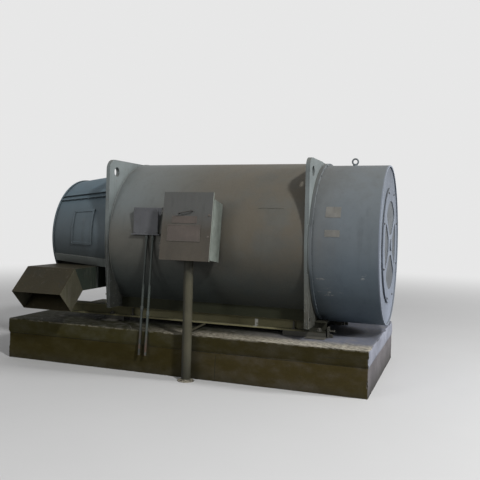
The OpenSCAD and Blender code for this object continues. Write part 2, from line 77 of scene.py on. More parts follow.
# Places that the frame gives
SHAFT_Z = (low("casing").z + high("casing").z) / 2
CASING_R = (high("casing").z - low("casing").z) / 2
HOUSING_R = (high("cover_housing").z - low("cover_housing").z) / 2
FLANGE_R = (high("housing_flange").z - low("housing_flange").z) / 2
FLANGE_FACE_X = high("housing_flange").x
BELL_BIG_R = high("drive_cover").z - SHAFT_Z
SHIELD_LIP = 0.012
BELL_SMALL_R = high("end_shield").z - SHAFT_Z - SHIELD_LIP
BELL_NEAR_X = high("drive_cover").x
BELL_FAR_X = low("drive_cover").x
SHIELD_T = 0.022
SLAB_TOP = high("plinth_slab").z
SLAB_FRONT_Y = low("plinth_slab").y
BLOCK_TOP = low("plinth_slab").z
HINGE = frame["joints"][0]
HINGE_PLACE = Vector(HINGE["pos_m"])
DOOR_LEAN = math.atan2(-HINGE["axis"][1], -HINGE["axis"][2])
DOOR_FACE = -0.011


class MotorColours(bpy.types.PropertyGroup):
    """Colours of the finishes."""

    casing: bpy.props.FloatVectorProperty(
        name="Casing paint", description="Old grey-green paint of the casing",
        subtype="COLOR", size=3, min=0, max=1, default=(0.100, 0.098, 0.084))
    casing_warm: bpy.props.FloatVectorProperty(
        name="Casing stain", description="Brown stain in the casing's paint",
        subtype="COLOR", size=3, min=0, max=1, default=(0.115, 0.096, 0.068))
    housing: bpy.props.FloatVectorProperty(
        name="Housing paint", description="Cooler grey paint of the covered end",
        subtype="COLOR", size=3, min=0, max=1, default=(0.127, 0.150, 0.167))
    plate: bpy.props.FloatVectorProperty(
        name="End plate paint", description="Pale grey-green paint of the end plates",
        subtype="COLOR", size=3, min=0, max=1, default=(0.152, 0.173, 0.172))
    cover: bpy.props.FloatVectorProperty(
        name="Cover paint", description="Pale paint of the round cover",
        subtype="COLOR", size=3, min=0, max=1, default=(0.183, 0.209, 0.255))
    screen: bpy.props.FloatVectorProperty(
        name="Screen", description="Dusty mesh behind the cover's windows",
        subtype="COLOR", size=3, min=0, max=1, default=(0.105, 0.115, 0.125))
    bell: bpy.props.FloatVectorProperty(
        name="Drive end paint", description="Blue-grey paint of the drive end's cover",
        subtype="COLOR", size=3, min=0, max=1, default=(0.084, 0.110, 0.126))
    # Made paler than the paint, as painted light on the rails' shaded flanges.
    rail: bpy.props.FloatVectorProperty(
        name="Rail steel", description="Olive paint of the base rails",
        subtype="COLOR", size=3, min=0, max=1, default=(0.230, 0.215, 0.120))
    gear: bpy.props.FloatVectorProperty(
        name="Gear steel", description="Grey-brown steel of sole plates, shims and screws",
        subtype="COLOR", size=3, min=0, max=1, default=(0.060, 0.058, 0.046))
    # Made darker than the paint, as painted shade under the drum.
    foot: bpy.props.FloatVectorProperty(
        name="Foot paint", description="Greenish paint of the foot bars",
        subtype="COLOR", size=3, min=0, max=1, default=(0.028, 0.030, 0.018))
    post: bpy.props.FloatVectorProperty(
        name="Post paint", description="Olive-grey paint of the control box's post",
        subtype="COLOR", size=3, min=0, max=1, default=(0.080, 0.075, 0.050))
    box: bpy.props.FloatVectorProperty(
        name="Control box paint", description="Red-brown paint of the control box",
        subtype="COLOR", size=3, min=0, max=1, default=(0.071, 0.061, 0.046))
    box_top: bpy.props.FloatVectorProperty(
        name="Control box dust", description="Grey dust on the upper part of the control box",
        subtype="COLOR", size=3, min=0, max=1, default=(0.088, 0.090, 0.086))
    # Pale green tint with painted light, for the sides of the control box.
    box_side_tint_and_light: bpy.props.FloatVectorProperty(
        name="Control box side", description="Pale green paint on the sides of the control box",
        subtype="COLOR", size=3, min=0, max=1, default=(0.164, 0.185, 0.164))
    sign: bpy.props.FloatVectorProperty(
        name="Blank plates", description="Faded red-brown of the blank plates on the door",
        subtype="COLOR", size=3, min=0, max=1, default=(0.097, 0.078, 0.066))
    rim: bpy.props.FloatVectorProperty(
        name="Plate rim", description="Warm grey of the blank plate's frame and of the latches on the door",
        subtype="COLOR", size=3, min=0, max=1, default=(0.115, 0.101, 0.086))
    label: bpy.props.FloatVectorProperty(
        name="Blank labels", description="Dusty beige of the blank plates on the housing",
        subtype="COLOR", size=3, min=0, max=1, default=(0.182, 0.178, 0.162))
    terminal: bpy.props.FloatVectorProperty(
        name="Terminal box paint", description="Grey paint of the terminal box",
        subtype="COLOR", size=3, min=0, max=1, default=(0.103, 0.106, 0.115))
    conduit: bpy.props.FloatVectorProperty(
        name="Conduit paint", description="Dark grey of the two conduits",
        subtype="COLOR", size=3, min=0, max=1, default=(0.040, 0.049, 0.044))
    duct: bpy.props.FloatVectorProperty(
        name="Duct sheet", description="Dusty sheet metal of the air duct",
        subtype="COLOR", size=3, min=0, max=1, default=(0.078, 0.067, 0.040))
    iron: bpy.props.FloatVectorProperty(
        name="Dark iron", description="Dark iron of bearings, handles and hinges",
        subtype="COLOR", size=3, min=0, max=1, default=(0.04, 0.037, 0.035))
    shaft: bpy.props.FloatVectorProperty(
        name="Shaft steel", description="Turned steel of the shaft",
        subtype="COLOR", size=3, min=0, max=1, default=(0.36, 0.35, 0.33))
    concrete: bpy.props.FloatVectorProperty(
        name="Concrete", description="Body colour of the concrete",
        subtype="COLOR", size=3, min=0, max=1, default=(0.21, 0.20, 0.19))
    oil: bpy.props.FloatVectorProperty(
        name="Oil stain", description="Dark oily dirt on the foundation's long sides",
        subtype="COLOR", size=3, min=0, max=1, default=(0.035, 0.028, 0.008))
    dust: bpy.props.FloatVectorProperty(
        name="Dust", description="Pale dust on what faces up",
        subtype="COLOR", size=3, min=0, max=1, default=(0.145, 0.135, 0.11))
    # Dark grime; also laid as painted shade in corners, low down, under the control box, on the post's left and at the
    # rails' far ends.
    grime_and_shade: bpy.props.FloatVectorProperty(
        name="Grime", description="Dark grime in corners and low down",
        subtype="COLOR", size=3, min=0, max=1, default=(0.022, 0.023, 0.019))
    rust: bpy.props.FloatVectorProperty(
        name="Rust", description="Rust where the paint has gone",
        subtype="COLOR", size=3, min=0, max=1, default=(0.10, 0.045, 0.024))


class DetailSizes(bpy.types.PropertyGroup):
    """Sizes of the small pieces."""

    flange_bolt_count: bpy.props.IntProperty(
        name="Flange bolts", description="Bolts round the flange of the covered end", default=36, min=8, max=72)
    flange_bolt: bpy.props.FloatProperty(
        name="Flange bolt", description="Radius of a flange bolt's head", unit="LENGTH", default=0.0075)
    cover_bolt: bpy.props.FloatProperty(
        name="Cover bolt", description="Radius of a cover bolt's head", unit="LENGTH", default=0.0095)
    cover_bolt_ring: bpy.props.FloatProperty(
        name="Cover bolt circle", description="Radius of the cover bolts' circle", unit="LENGTH", default=0.609)
    seam_bolt: bpy.props.FloatProperty(
        name="Seam bolt", description="Radius of the bolts in the drive cover's seams", unit="LENGTH", default=0.008)
    shield_bolt: bpy.props.FloatProperty(
        name="Shield bolt", description="Radius of the end shield's bolts", unit="LENGTH", default=0.013)
    screw: bpy.props.FloatProperty(
        name="Small screw", description="Radius of a small screw's head", unit="LENGTH", default=0.0065)
    plate_t: bpy.props.FloatProperty(
        name="Plate thickness", description="Thickness of the blank plates", unit="LENGTH", default=0.003)
    cell: bpy.props.FloatProperty(
        name="Concrete cell", description="Spacing of the concrete's mesh", unit="LENGTH", default=0.013)
    chip: bpy.props.FloatProperty(
        name="Chips", description="Size of the largest chips in the concrete's edges", unit="LENGTH", default=0.036)
    form_joint_x: bpy.props.FloatProperty(
        name="Form joint", description="Place of the casting joint in the foundation's side",
        unit="LENGTH", default=0.526)


class StageSettings(bpy.types.PropertyGroup):
    """Camera and light."""

    camera_place: bpy.props.FloatVectorProperty(
        name="Camera place", description="Where the camera stands", subtype="XYZ", unit="LENGTH",
        size=3, default=(2.947, -6.982, 1.6846))
    turn: bpy.props.FloatProperty(
        name="Turn", description="How far the view is turned to the left of straight ahead",
        unit="ROTATION", default=math.radians(19.95))
    tilt: bpy.props.FloatProperty(
        name="Tilt", description="How far the view is tilted up", unit="ROTATION", default=math.radians(0.675))
    roll: bpy.props.FloatProperty(
        name="Roll", description="How far the camera is rolled", unit="ROTATION", default=math.radians(1.376))
    lens: bpy.props.FloatProperty(
        name="Lens", description="Focal length on a 36 mm sensor", default=46.38, min=10, max=200)
    shift_y: bpy.props.FloatProperty(
        name="Shift", description="Vertical shift of the frame, as a share of its width", default=-0.05625)
    key_angle: bpy.props.FloatProperty(
        name="Key angle", description="Angle of the main light to the right of the control side",
        unit="ROTATION", default=math.radians(48))
    key_height: bpy.props.FloatProperty(
        name="Key height", description="Angle of the main light above the horizon",
        unit="ROTATION", default=math.radians(34.6))
    key_power: bpy.props.FloatProperty(
        name="Key power", description="Power of the main light", unit="POWER", default=1050)
    fill_angle: bpy.props.FloatProperty(
        name="Fill angle", description="Angle of the weak light to the right of the control side",
        unit="ROTATION", default=math.radians(-24))
    fill_height: bpy.props.FloatProperty(
        name="Fill height", description="Angle of the weak light above the horizon",
        unit="ROTATION", default=math.radians(14))
    fill_power: bpy.props.FloatProperty(
        name="Fill power", description="Power of the weak light", unit="POWER", default=150)
    side_angle: bpy.props.FloatProperty(
        name="Side angle", description="Angle of the light on the covered end to the right of the control side",
        unit="ROTATION", default=math.radians(94))
    side_height: bpy.props.FloatProperty(
        name="Side height", description="Angle of the light on the covered end above the horizon",
        unit="ROTATION", default=math.radians(16))
    side_power: bpy.props.FloatProperty(
        name="Side power", description="Power of the light on the covered end", unit="POWER", default=1300)
    sky: bpy.props.FloatProperty(
        name="Sky light", description="Strength of the even light from above", default=0.27, min=0, max=1)
    backdrop: bpy.props.FloatProperty(
        name="Backdrop", description="Brightness of the plain surroundings, where 1 is white", default=0.80,
        min=0, max=1)


def colours():
    """The colour properties of the scene."""
    return bpy.context.scene.motor_colours


def sizes():
    """The size properties of the scene."""
    return bpy.context.scene.motor_sizes


def add_node(tree, kind, inputs=None, **settings):
    """Adds a shader node, sets it, and feeds its inputs with values or with sockets."""
    made = tree.nodes.new(kind)
    for name, value in settings.items():
        setattr(made, name, value)
    for key, value in (inputs or {}).items():
        if isinstance(value, bpy.types.NodeSocket):
            tree.links.new(value, made.inputs[key])
        else:
            made.inputs[key].default_value = value
    return made


def mix(tree, factor, a, b, mode="MIX"):
    """Mixes two colours and gives the result's socket."""
    made = add_node(tree, "ShaderNodeMix", {0: factor}, data_type="RGBA", blend_type=mode)
    for index, value in ((6, a), (7, b)):
        if isinstance(value, bpy.types.NodeSocket):
            tree.links.new(value, made.inputs[index])
        else:
            made.inputs[index].default_value = (*value, 1)
    return made.outputs[2]


def maths(tree, operation, a, b=0.0, clamp=False):
    """One step of arithmetic on two numbers or sockets."""
    return add_node(tree, "ShaderNodeMath", {0: a, 1: b}, operation=operation, use_clamp=clamp).outputs[0]


def product(tree, *factors):
    """All factors multiplied together."""
    result = factors[0]
    for factor in factors[1:]:
        result = maths(tree, "MULTIPLY", result, factor)
    return result


def ramp(tree, value, start, end, to_low=0.0, to_high=1.0):
    """Carries a value from start..end to to_low..to_high, held at both ends."""
    made = add_node(tree, "ShaderNodeMapRange", {0: value, 1: start, 2: end, 3: to_low, 4: to_high})
    made.interpolation_type = "SMOOTHSTEP"
    return made.outputs[0]


def cloud(tree, place, scale, detail=4.0, roughness=0.55, stretch=(1, 1, 1)):
    """Noise, stretched along the axes."""
    mapped = add_node(tree, "ShaderNodeMapping", {"Vector": place, "Scale": stretch})
    made = add_node(tree, "ShaderNodeTexNoise", {
        "Vector": mapped.outputs[0], "Scale": scale, "Detail": detail, "Roughness": roughness})
    return made.outputs[0]


def new_material(name):
    """An empty material with its shader and its object coordinates."""
    material = bpy.data.materials.new(name)
    material.use_nodes = True
    tree = material.node_tree
    shader = tree.nodes["Principled BSDF"]
    place = add_node(tree, "ShaderNodeTexCoord").outputs["Object"]
    return material, tree, shader, place


def split(tree, vector):
    """The three parts of a vector, as sockets."""
    return add_node(tree, "ShaderNodeSeparateXYZ", {0: vector}).outputs


def times(colour, *factors):
    """A colour multiplied by one factor, or by one for each channel."""
    if len(factors) == 1:
        factors *= 3
    return [min(1, part * factor) for part, factor in zip(colour, factors)]


class Finish:
    """A finish in the making: its colour is built up in layers, from the body colour to the dust."""

    def __init__(self, name, scale=1.0):
        self.material, self.tree, self.shader, self.place = new_material(name)
        self.normal = add_node(self.tree, "ShaderNodeNewGeometry").outputs["Normal"]
        self.along, self.across, self.height = split(self.tree, self.place)
        self.facing = split(self.tree, self.normal)
        self.scale = scale
        self.patch = self.noise(6.5, 6, 0.62)
        self.fine = self.noise(60, 5, 0.7)
        self.colour = None
        self.settled = None

    def maths(self, operation, a, b=0.0, clamp=False):
        """One step of arithmetic on two numbers or sockets."""
        return maths(self.tree, operation, a, b, clamp)

    def product(self, *factors):
        """All factors multiplied together."""
        return product(self.tree, *factors)

    def ramp(self, value, start, end, to_low=0.0, to_high=1.0):
        """Carries a value from start..end to to_low..to_high, held at both ends."""
        return ramp(self.tree, value, start, end, to_low, to_high)

    def noise(self, scale, detail=4.0, roughness=0.55, stretch=(1, 1, 1)):
        """Noise at the finish's own scale."""
        return cloud(self.tree, self.place, scale * self.scale, detail, roughness, stretch)

    def uneven(self, value, clouds, amount):
        """A value that clouds make uneven."""
        return self.maths("ADD", value, self.product(clouds, amount))

    def within(self, coordinate, start, end, soft):
        """High where a coordinate lies between two values, with soft limits."""
        return self.product(self.ramp(coordinate, start - soft, start + soft),
                            self.ramp(coordinate, end + soft, end - soft))

    def sides(self, axis=0, start=0.6, end=0.8):
        """High on what faces along an axis, either way."""
        return self.ramp(self.maths("ABSOLUTE", self.facing[axis]), start, end)

    def worn(self, radius=0.006):
        """High along sharp edges, where the rounded and the true direction differ."""
        rounded = add_node(self.tree, "ShaderNodeBevel", {"Radius": radius}, samples=4).outputs[0]
        alike = add_node(self.tree, "ShaderNodeVectorMath", {0: rounded, 1: self.normal},
                         operation="DOT_PRODUCT")
        return self.ramp(alike.outputs["Value"], 0.995, 0.90)

    def layer(self, amount, colour, strength=1.0):
        """Lays a colour over what is there."""
        self.colour = mix(self.tree, self.product(amount, strength), self.colour, colour)

    def tint(self, amount, factors):
        """Multiplies what is there by a factor for each channel."""
        self.colour = mix(self.tree, amount, self.colour, factors, "MULTIPLY")

    def body(self, colour, spread=0.15):
        """The body colour, a little lighter and darker in broad clouds and small patches."""
        broad = self.ramp(self.noise(1.7, 5), 0.35, 0.68)
        self.colour = mix(self.tree, broad, times(colour, 1 - spread), times(colour, 1 + spread))
        self.layer(self.ramp(self.patch, 0.45, 0.7), times(colour, 0.75), 0.35)

    def streaks(self, strength):
        """Dark and pale runs down the sides."""
        dark = self.noise(9, 5, 0.6, (1, 1, 0.09))
        self.layer(self.ramp(dark, 0.52, 0.74), colours().grime_and_shade, strength * 0.6)
        pale = self.noise(13, 4, 0.6, (1, 1, 0.07))
        self.layer(self.ramp(pale, 0.58, 0.78), colours().dust, strength * 0.35)

    def rust(self, strength):
        """Small rust spots."""
        self.layer(self.ramp(self.noise(22, 7, 0.68), 0.60, 0.70), colours().rust, strength)

    def edges(self, colour, strength=0.75):
        """Paint rubbed pale along the edges."""
        rubbed = self.product(self.worn(), self.ramp(self.patch, 0.4, 0.6, 0.2, strength))
        self.layer(rubbed, [min(1, part * 1.5 + 0.02) for part in colour])

    def corners(self, strength, reach=0.16):
        """Grime and painted shade where surfaces meet, laid where ambient occlusion is low."""
        shade = add_node(self.tree, "ShaderNodeAmbientOcclusion", {"Distance": reach}, samples=4)
        self.layer(self.ramp(shade.outputs["AO"], 0.85, 0.25), colours().grime_and_shade, strength)

    def low_dirt_and_shade(self, start, end, colour, strength):
        """Dirt and painted shade towards the underside, with a ragged limit."""
        ragged = self.uneven(self.height, self.noise(2.2, 6, 0.6), 0.30)
        self.layer(self.ramp(ragged, start + 0.15, end + 0.15), colour, strength)

    def dust(self, strength, colour=None):
        """Pale dust on what faces up."""
        self.settled = self.product(self.ramp(self.facing[2], 0.15, 0.95),
                                    self.ramp(self.patch, 0.25, 0.62, 0.55, 1.0), strength)
        self.layer(self.settled, colour or colours().dust)

    def close(self, rough=0.55, metallic=0.0, bump=0.22, depth=0.004, sheen=0.5):
        """Joins the colour, the roughness and the relief to the shader."""
        inputs = self.shader.inputs
        inputs["Specular IOR Level"].default_value = sheen
        inputs["Metallic"].default_value = metallic
        roughness = self.ramp(self.fine, 0.3, 0.7, rough - 0.08, rough + 0.1)
        if self.settled is not None:
            roughness = self.maths("ADD", roughness, self.product(self.settled, 0.25), clamp=True)
        relief = self.maths("ADD", self.product(self.fine, 0.6), self.product(self.patch, 0.8))
        bumps = add_node(self.tree, "ShaderNodeBump", {
            "Strength": bump, "Distance": depth, "Height": relief})
        self.tree.links.new(self.colour, inputs["Base Color"])
        self.tree.links.new(roughness, inputs["Roughness"])
        self.tree.links.new(bumps.outputs[0], inputs["Normal"])
        return self.material


def plain_paint(name, colour, dust=0.5, grime_and_shade=0.7, rust=0.25, streaks=0.5, rough=0.6,
                scale=1.0, sheen=0.5):
    """Old paint with streaks down the sides, grime and painted shade in corners, rubbed edges and dust on top."""
    finish = Finish(name, scale)
    finish.body(colour)
    finish.streaks(streaks)
    finish.rust(rust)
    finish.edges(colour)
    finish.corners(grime_and_shade)
    finish.dust(dust)
    return finish.close(rough, sheen=sheen)


def casing_paint(name):
    """Drum paint: grey-green, stained brown towards the covered end, with a painted bluish haze of light high up
    towards the drive end and painted shade below the middle.
    """
    tones = colours()
    low_shade_colour = (0.018, 0.031, 0.033)
    finish = Finish(name)
    finish.body(tones.casing, 0.10)
    warm = finish.product(finish.ramp(finish.along, -0.3, 0.9),
                          finish.ramp(finish.noise(2.6, 6, 0.6), 0.35, 0.6))
    finish.layer(warm, tones.casing_warm, 0.75)
    # Painted bluish haze of light, high up towards the drive end.
    painted_haze = finish.product(finish.ramp(finish.along, 0.35, -0.75),
                          finish.ramp(finish.height, SHAFT_Z, SHAFT_Z + 0.5))
    finish.layer(painted_haze, times(tones.casing, 1.78, 2.08, 2.50), 0.9)
    finish.streaks(0.28)
    finish.rust(0.12)
    # Painted shade below the middle of the drum, with a ragged limit.
    finish.low_dirt_and_shade(SHAFT_Z + 0.05, SHAFT_Z - 0.55, low_shade_colour, 0.70)
    finish.edges(tones.casing)
    finish.corners(0.6, 0.12)
    finish.dust(0.35)
    return finish.close(0.62, bump=0.16)


# Where the housing is scratched: start and end along the shaft, then both heights against the shaft line
HOUSING_SCRATCHES = (
    (1.55, 1.63, -0.345, -0.30),
    (2.00, 2.10, -0.33, -0.28),
    (1.55, 1.70, -0.52, -0.43),
    (1.74, 1.80, -0.50, -0.46),
)


def housing_paint(name):
    """Cooler paint of the covered end, with painted shade low down, scratched pale low on its side, with a pale rim."""
    tones = colours()
    low_shade_colour = (0.058, 0.108, 0.160)
    scratch_colour = (0.36, 0.37, 0.36)
    warm_tint = (1.0, 0.94, 0.89)
    finish = Finish(name)
    finish.body(tones.housing, 0.10)
    finish.streaks(0.3)
    finish.rust(0.08)
    # Painted shade low down, darker and bluer.
    finish.low_dirt_and_shade(SHAFT_Z + 0.12, SHAFT_Z - 0.6, low_shade_colour, 0.42)
    lines = finish.noise(15, 6, 0.75, (0.45, 1, 2.2))
    rubbed = finish.product(finish.ramp(lines, 0.55, 0.60), finish.ramp(lines, 0.70, 0.64))
    for start, end, bottom, top in HOUSING_SCRATCHES:
        patch = finish.product(rubbed, finish.within(finish.along, start, end, 0.02),
                               finish.within(finish.height, SHAFT_Z + bottom, SHAFT_Z + top, 0.012))
        finish.layer(patch, scratch_colour, 0.9)
    finish.tint(finish.ramp(finish.along, 1.85, 1.55), warm_tint)
    rim_x = high("cover_ring").x
    finish.layer(finish.ramp(finish.along, rim_x + 0.001, rim_x + 0.003), times(tones.cover, 1.15))
    finish.edges(tones.housing)
    finish.corners(0.45, 0.10)
    finish.dust(0.35)
    return finish.close(0.6, bump=0.16)


def bell_paint(name):
    """Blue-grey paint of the drive end's cover, with painted shade below and dusty blue on top."""
    tones = colours()
    top_dust = (0.140, 0.225, 0.280)
    finish = Finish(name)
    finish.body(tones.bell, 0.12)
    finish.streaks(0.35)
    finish.rust(0.12)
    # Painted shade below the middle.
    finish.low_dirt_and_shade(SHAFT_Z + 0.25, SHAFT_Z - 0.45, tones.grime_and_shade, 0.75)
    finish.edges(tones.bell)
    finish.corners(0.6, 0.10)
    finish.dust(0.5, top_dust)
    return finish.close(0.58, bump=0.18)


def plate_grime(name, dirt_and_shade, limit, depth, strength, foot_tint):
    """Paint of a pair of end plates, with dirt and painted shade below a ragged limit, a streaked foot, and painted
    shade just above the foundation.
    """
    tones = colours()
    shaded = (0.72, 0.72, 0.70)
    finish = Finish(name)
    finish.body(tones.plate)
    finish.streaks(0.9)
    finish.rust(0.35)
    # Dirt and painted shade below the ragged limit; on the drive end's plates it is painted shadow.
    finish.low_dirt_and_shade(limit, limit - depth, dirt_and_shade, strength)
    foot = finish.product(finish.ramp(finish.height, SLAB_TOP + 0.75, SLAB_TOP + 0.2),
                          finish.ramp(finish.noise(18, 7, 0.7, (1, 1, 0.4)), 0.40, 0.54))
    finish.layer(foot, times(tones.grime_and_shade, 1.6), 0.85)
    finish.tint(finish.ramp(finish.height, SLAB_TOP + 0.85, SLAB_TOP + 0.35), foot_tint)
    # Painted shade just above the foundation.
    finish.tint(finish.ramp(finish.height, SLAB_TOP + 0.35, SLAB_TOP + 0.08), shaded)
    lines = finish.product(finish.ramp(finish.noise(30, 4, 0.6, (1, 1, 0.06)), 0.50, 0.58),
                           finish.ramp(finish.height, SLAB_TOP + 1.0, SLAB_TOP + 0.4))
    finish.layer(lines, tones.grime_and_shade, 0.45)
    flecks = finish.product(finish.ramp(finish.height, SLAB_TOP + 0.9, SLAB_TOP + 0.3),
                            finish.ramp(finish.noise(34, 5, 0.7), 0.60, 0.66))
    finish.layer(flecks, times(tones.plate, 1.2), 0.7)
    finish.edges(tones.plate)
    finish.corners(0.6)
    finish.dust(0.4)
    return finish.close(0.6)


def cover_paint(name):
    """Pale paint of the round cover, with painted shade towards its top and painted light towards its bottom."""
    tones = colours()
    top_shade_tint = (0.60, 0.60, 0.60)
    bottom_light_tint = (1.1, 1.08, 1.1)
    finish = Finish(name)
    finish.body(tones.cover)
    ragged = finish.uneven(finish.height, finish.noise(2.5, 5, 0.6), 0.25)
    # Painted shade towards the top, painted light towards the bottom.
    finish.tint(finish.ramp(ragged, SHAFT_Z, SHAFT_Z + 0.95), top_shade_tint)
    finish.tint(finish.ramp(finish.height, SHAFT_Z - 0.3, SHAFT_Z - 0.8), bottom_light_tint)
    finish.streaks(0.3)
    finish.rust(0.05)
    finish.edges(tones.cover)
    finish.corners(0.55, 0.06)
    finish.dust(0.3)
    return finish.close(0.6)


def screen_mesh(name):
    """Fine woven mesh, filled with dust in patches."""
    tones = colours()
    wire_spacing = 0.012
    finish = Finish(name)
    finish.body(tones.screen, 0.18)
    wires = [finish.maths("SINE", finish.product(way, math.tau / wire_spacing))
             for way in (finish.across, finish.height)]
    holes = finish.ramp(finish.maths("MAXIMUM", *wires), 0.55, 0.1)
    clogged = finish.ramp(finish.noise(9, 6, 0.6), 0.42, 0.62)
    open_holes = finish.product(holes, finish.maths("SUBTRACT", 1.0, clogged))
    finish.layer(open_holes, times(tones.screen, 0.3), 0.7)
    finish.streaks(0.5)
    finish.corners(0.5, 0.05)
    return finish.close(0.75, bump=0.3)


def conduit_paint(name):
    """Conduit paint: the right one paler, both rusty at their lower ends."""
    tones = colours()
    finish = Finish(name, 2)
    finish.body(tones.conduit)
    middle = (low("conduits").x + high("conduits").x) / 2
    right_one = finish.ramp(finish.along, middle - 0.01, middle + 0.01)
    finish.layer(right_one, times(tones.conduit, 1.7), 0.7)
    rusty = finish.product(finish.ramp(finish.height, 0.55, 0.25),
                           finish.ramp(finish.noise(7, 6, 0.65), 0.4, 0.55))
    finish.layer(rusty, tones.rust, 0.7)
    finish.streaks(0.3)
    finish.corners(0.4, 0.08)
    finish.dust(0.4)
    return finish.close(0.55)


def duct_paint(name, side_light_and_shade_tint):
    """Dusty sheet of the duct: painted shade on what faces up, and a tint of painted light and shade on its upright
    sides.
    """
    tones = colours()
    top_shade_tint = (0.357, 0.345, 0.277)
    finish = Finish(name, 1.3)
    finish.body(tones.duct)
    # Painted light and shade on the upright sides, as the caller gives.
    finish.tint(finish.sides(), side_light_and_shade_tint)
    # Painted shade on what faces up.
    finish.tint(finish.ramp(finish.facing[2], 0.3, 0.6), top_shade_tint)
    finish.streaks(0.8)
    runs = finish.ramp(finish.noise(22, 4, 0.6, (0.3, 1, 0.12)), 0.50, 0.66)
    finish.layer(finish.product(runs, finish.sides()), tones.dust, 0.35)
    finish.rust(0.3)
    finish.edges(tones.duct)
    finish.corners(0.6)
    return finish.close(0.6, sheen=0.2)


def terminal_paint(name):
    """Grey paint of the terminal box, paler on its sides as painted light."""
    tones = colours()
    finish = Finish(name, 1.6)
    finish.body(tones.terminal)
    # Painted light on the sides.
    finish.layer(finish.sides(), times(tones.terminal, 1.2))
    finish.streaks(0.5)
    finish.rust(0.25)
    finish.edges(tones.terminal)
    finish.corners(0.35, 0.08)
    finish.dust(0.6)
    return finish.close(0.6)


def post_paint(name):
    """Post paint: olive-grey, with painted shadow under the box, darker towards the floor, and painted shade on its
    left.
    """
    tones = colours()
    finish = Finish(name, 1.6)
    finish.body(tones.post, 0.18)
    top = high("control_post").z
    # Painted shadow under the control box.
    finish.layer(finish.ramp(finish.height, top - 0.30, top - 0.05), tones.grime_and_shade, 0.75)
    # Darker towards the floor.
    finish.layer(finish.ramp(finish.height, 0.5, 0.1), tones.grime_and_shade, 0.5)
    # Painted shade on the post's left side.
    finish.layer(finish.ramp(finish.facing[0], 0.15, -0.45), tones.grime_and_shade, 0.6)
    finish.streaks(0.3)
    finish.rust(0.3)
    finish.corners(0.3, 0.08)
    return finish.close(0.6, sheen=0.25)


def door_paint(name):
    """Door paint: grey with dust near the top, red-brown and stained below."""
    tones = colours()
    finish = Finish(name, 1.6)
    finish.body(tones.box, 0.14)
    ragged = finish.uneven(finish.height, finish.noise(3, 6, 0.6), 0.22)
    bottom = low("control_box").z
    finish.layer(finish.ramp(ragged, bottom + 0.42, bottom + 0.66), tones.box_top)
    stained = finish.ramp(ragged, bottom + 0.32, bottom + 0.12)
    finish.layer(stained, times(tones.box, 0.92, 0.86, 0.80), 0.35)
    # Pale green tint with painted light on the door's sides.
    finish.layer(finish.sides(), tones.box_side_tint_and_light)
    finish.streaks(0.4)
    finish.rust(0.4)
    finish.edges(tones.box, 0.9)
    finish.corners(0.5, 0.08)
    finish.dust(0.7)
    return finish.close(0.66, bump=0.2)


def box_sheet(name):
    """Box sheet: pale green tint with painted light on both sides, brown elsewhere, grime and painted shade inside and
    below.
    """
    tones = colours()
    finish = Finish(name, 1.8)
    finish.body(tones.box, 0.12)
    # Pale green tint with painted light on both sides of the box.
    pale = mix(finish.tree, finish.ramp(finish.noise(3.5, 6, 0.65), 0.35, 0.65),
               times(tones.box_side_tint_and_light, 0.8), times(tones.box_side_tint_and_light, 1.15))
    finish.layer(finish.sides(), pale)
    finish.streaks(0.35)
    finish.rust(0.25)
    finish.edges(tones.box_side_tint_and_light, 0.6)
    finish.corners(0.75, 0.06)
    finish.dust(0.6)
    return finish.close(0.6, bump=0.15)


def shaft_steel(name):
    """Turned steel with fine rings and oily, rusty stains."""
    tones = colours()
    finish = Finish(name)
    finish.fine = finish.noise(5, 3, 0.5, (60, 1, 1))
    finish.colour = mix(finish.tree, finish.ramp(finish.fine, 0.35, 0.65),
                        times(tones.shaft, 0.8), tones.shaft)
    finish.layer(finish.ramp(finish.noise(8, 6, 0.65), 0.5, 0.7), tones.rust, 0.7)
    return finish.close(0.4, metallic=0.85, bump=0.12, depth=0.001)


def rail_paint(name):
    """Olive paint of the base rails, with painted shadow under the covered end's plates, and one pale spill."""
    tones = colours()
    spill_colour = (0.75, 0.75, 0.72)
    finish = Finish(name)
    finish.body(tones.rail)
    finish.streaks(0.4)
    finish.rust(0.2)
    finish.edges(tones.rail)
    finish.corners(0.3)
    finish.dust(0.3)
    # Painted shadow at the rails' ends under the covered end's plates.
    finish.layer(finish.ramp(finish.along, 1.15, 1.40), times(tones.grime_and_shade, 0.7), 0.92)
    spill = finish.product(
        finish.ramp(finish.across, 0.1, -0.1), finish.within(finish.along, 0.790, 0.825, 0.006),
        finish.within(finish.height, 0.528, 0.600, 0.010),
        finish.ramp(finish.noise(30, 4, 0.6), 0.34, 0.42))
    finish.layer(spill, spill_colour)
    return finish.close(0.65, sheen=0.2)


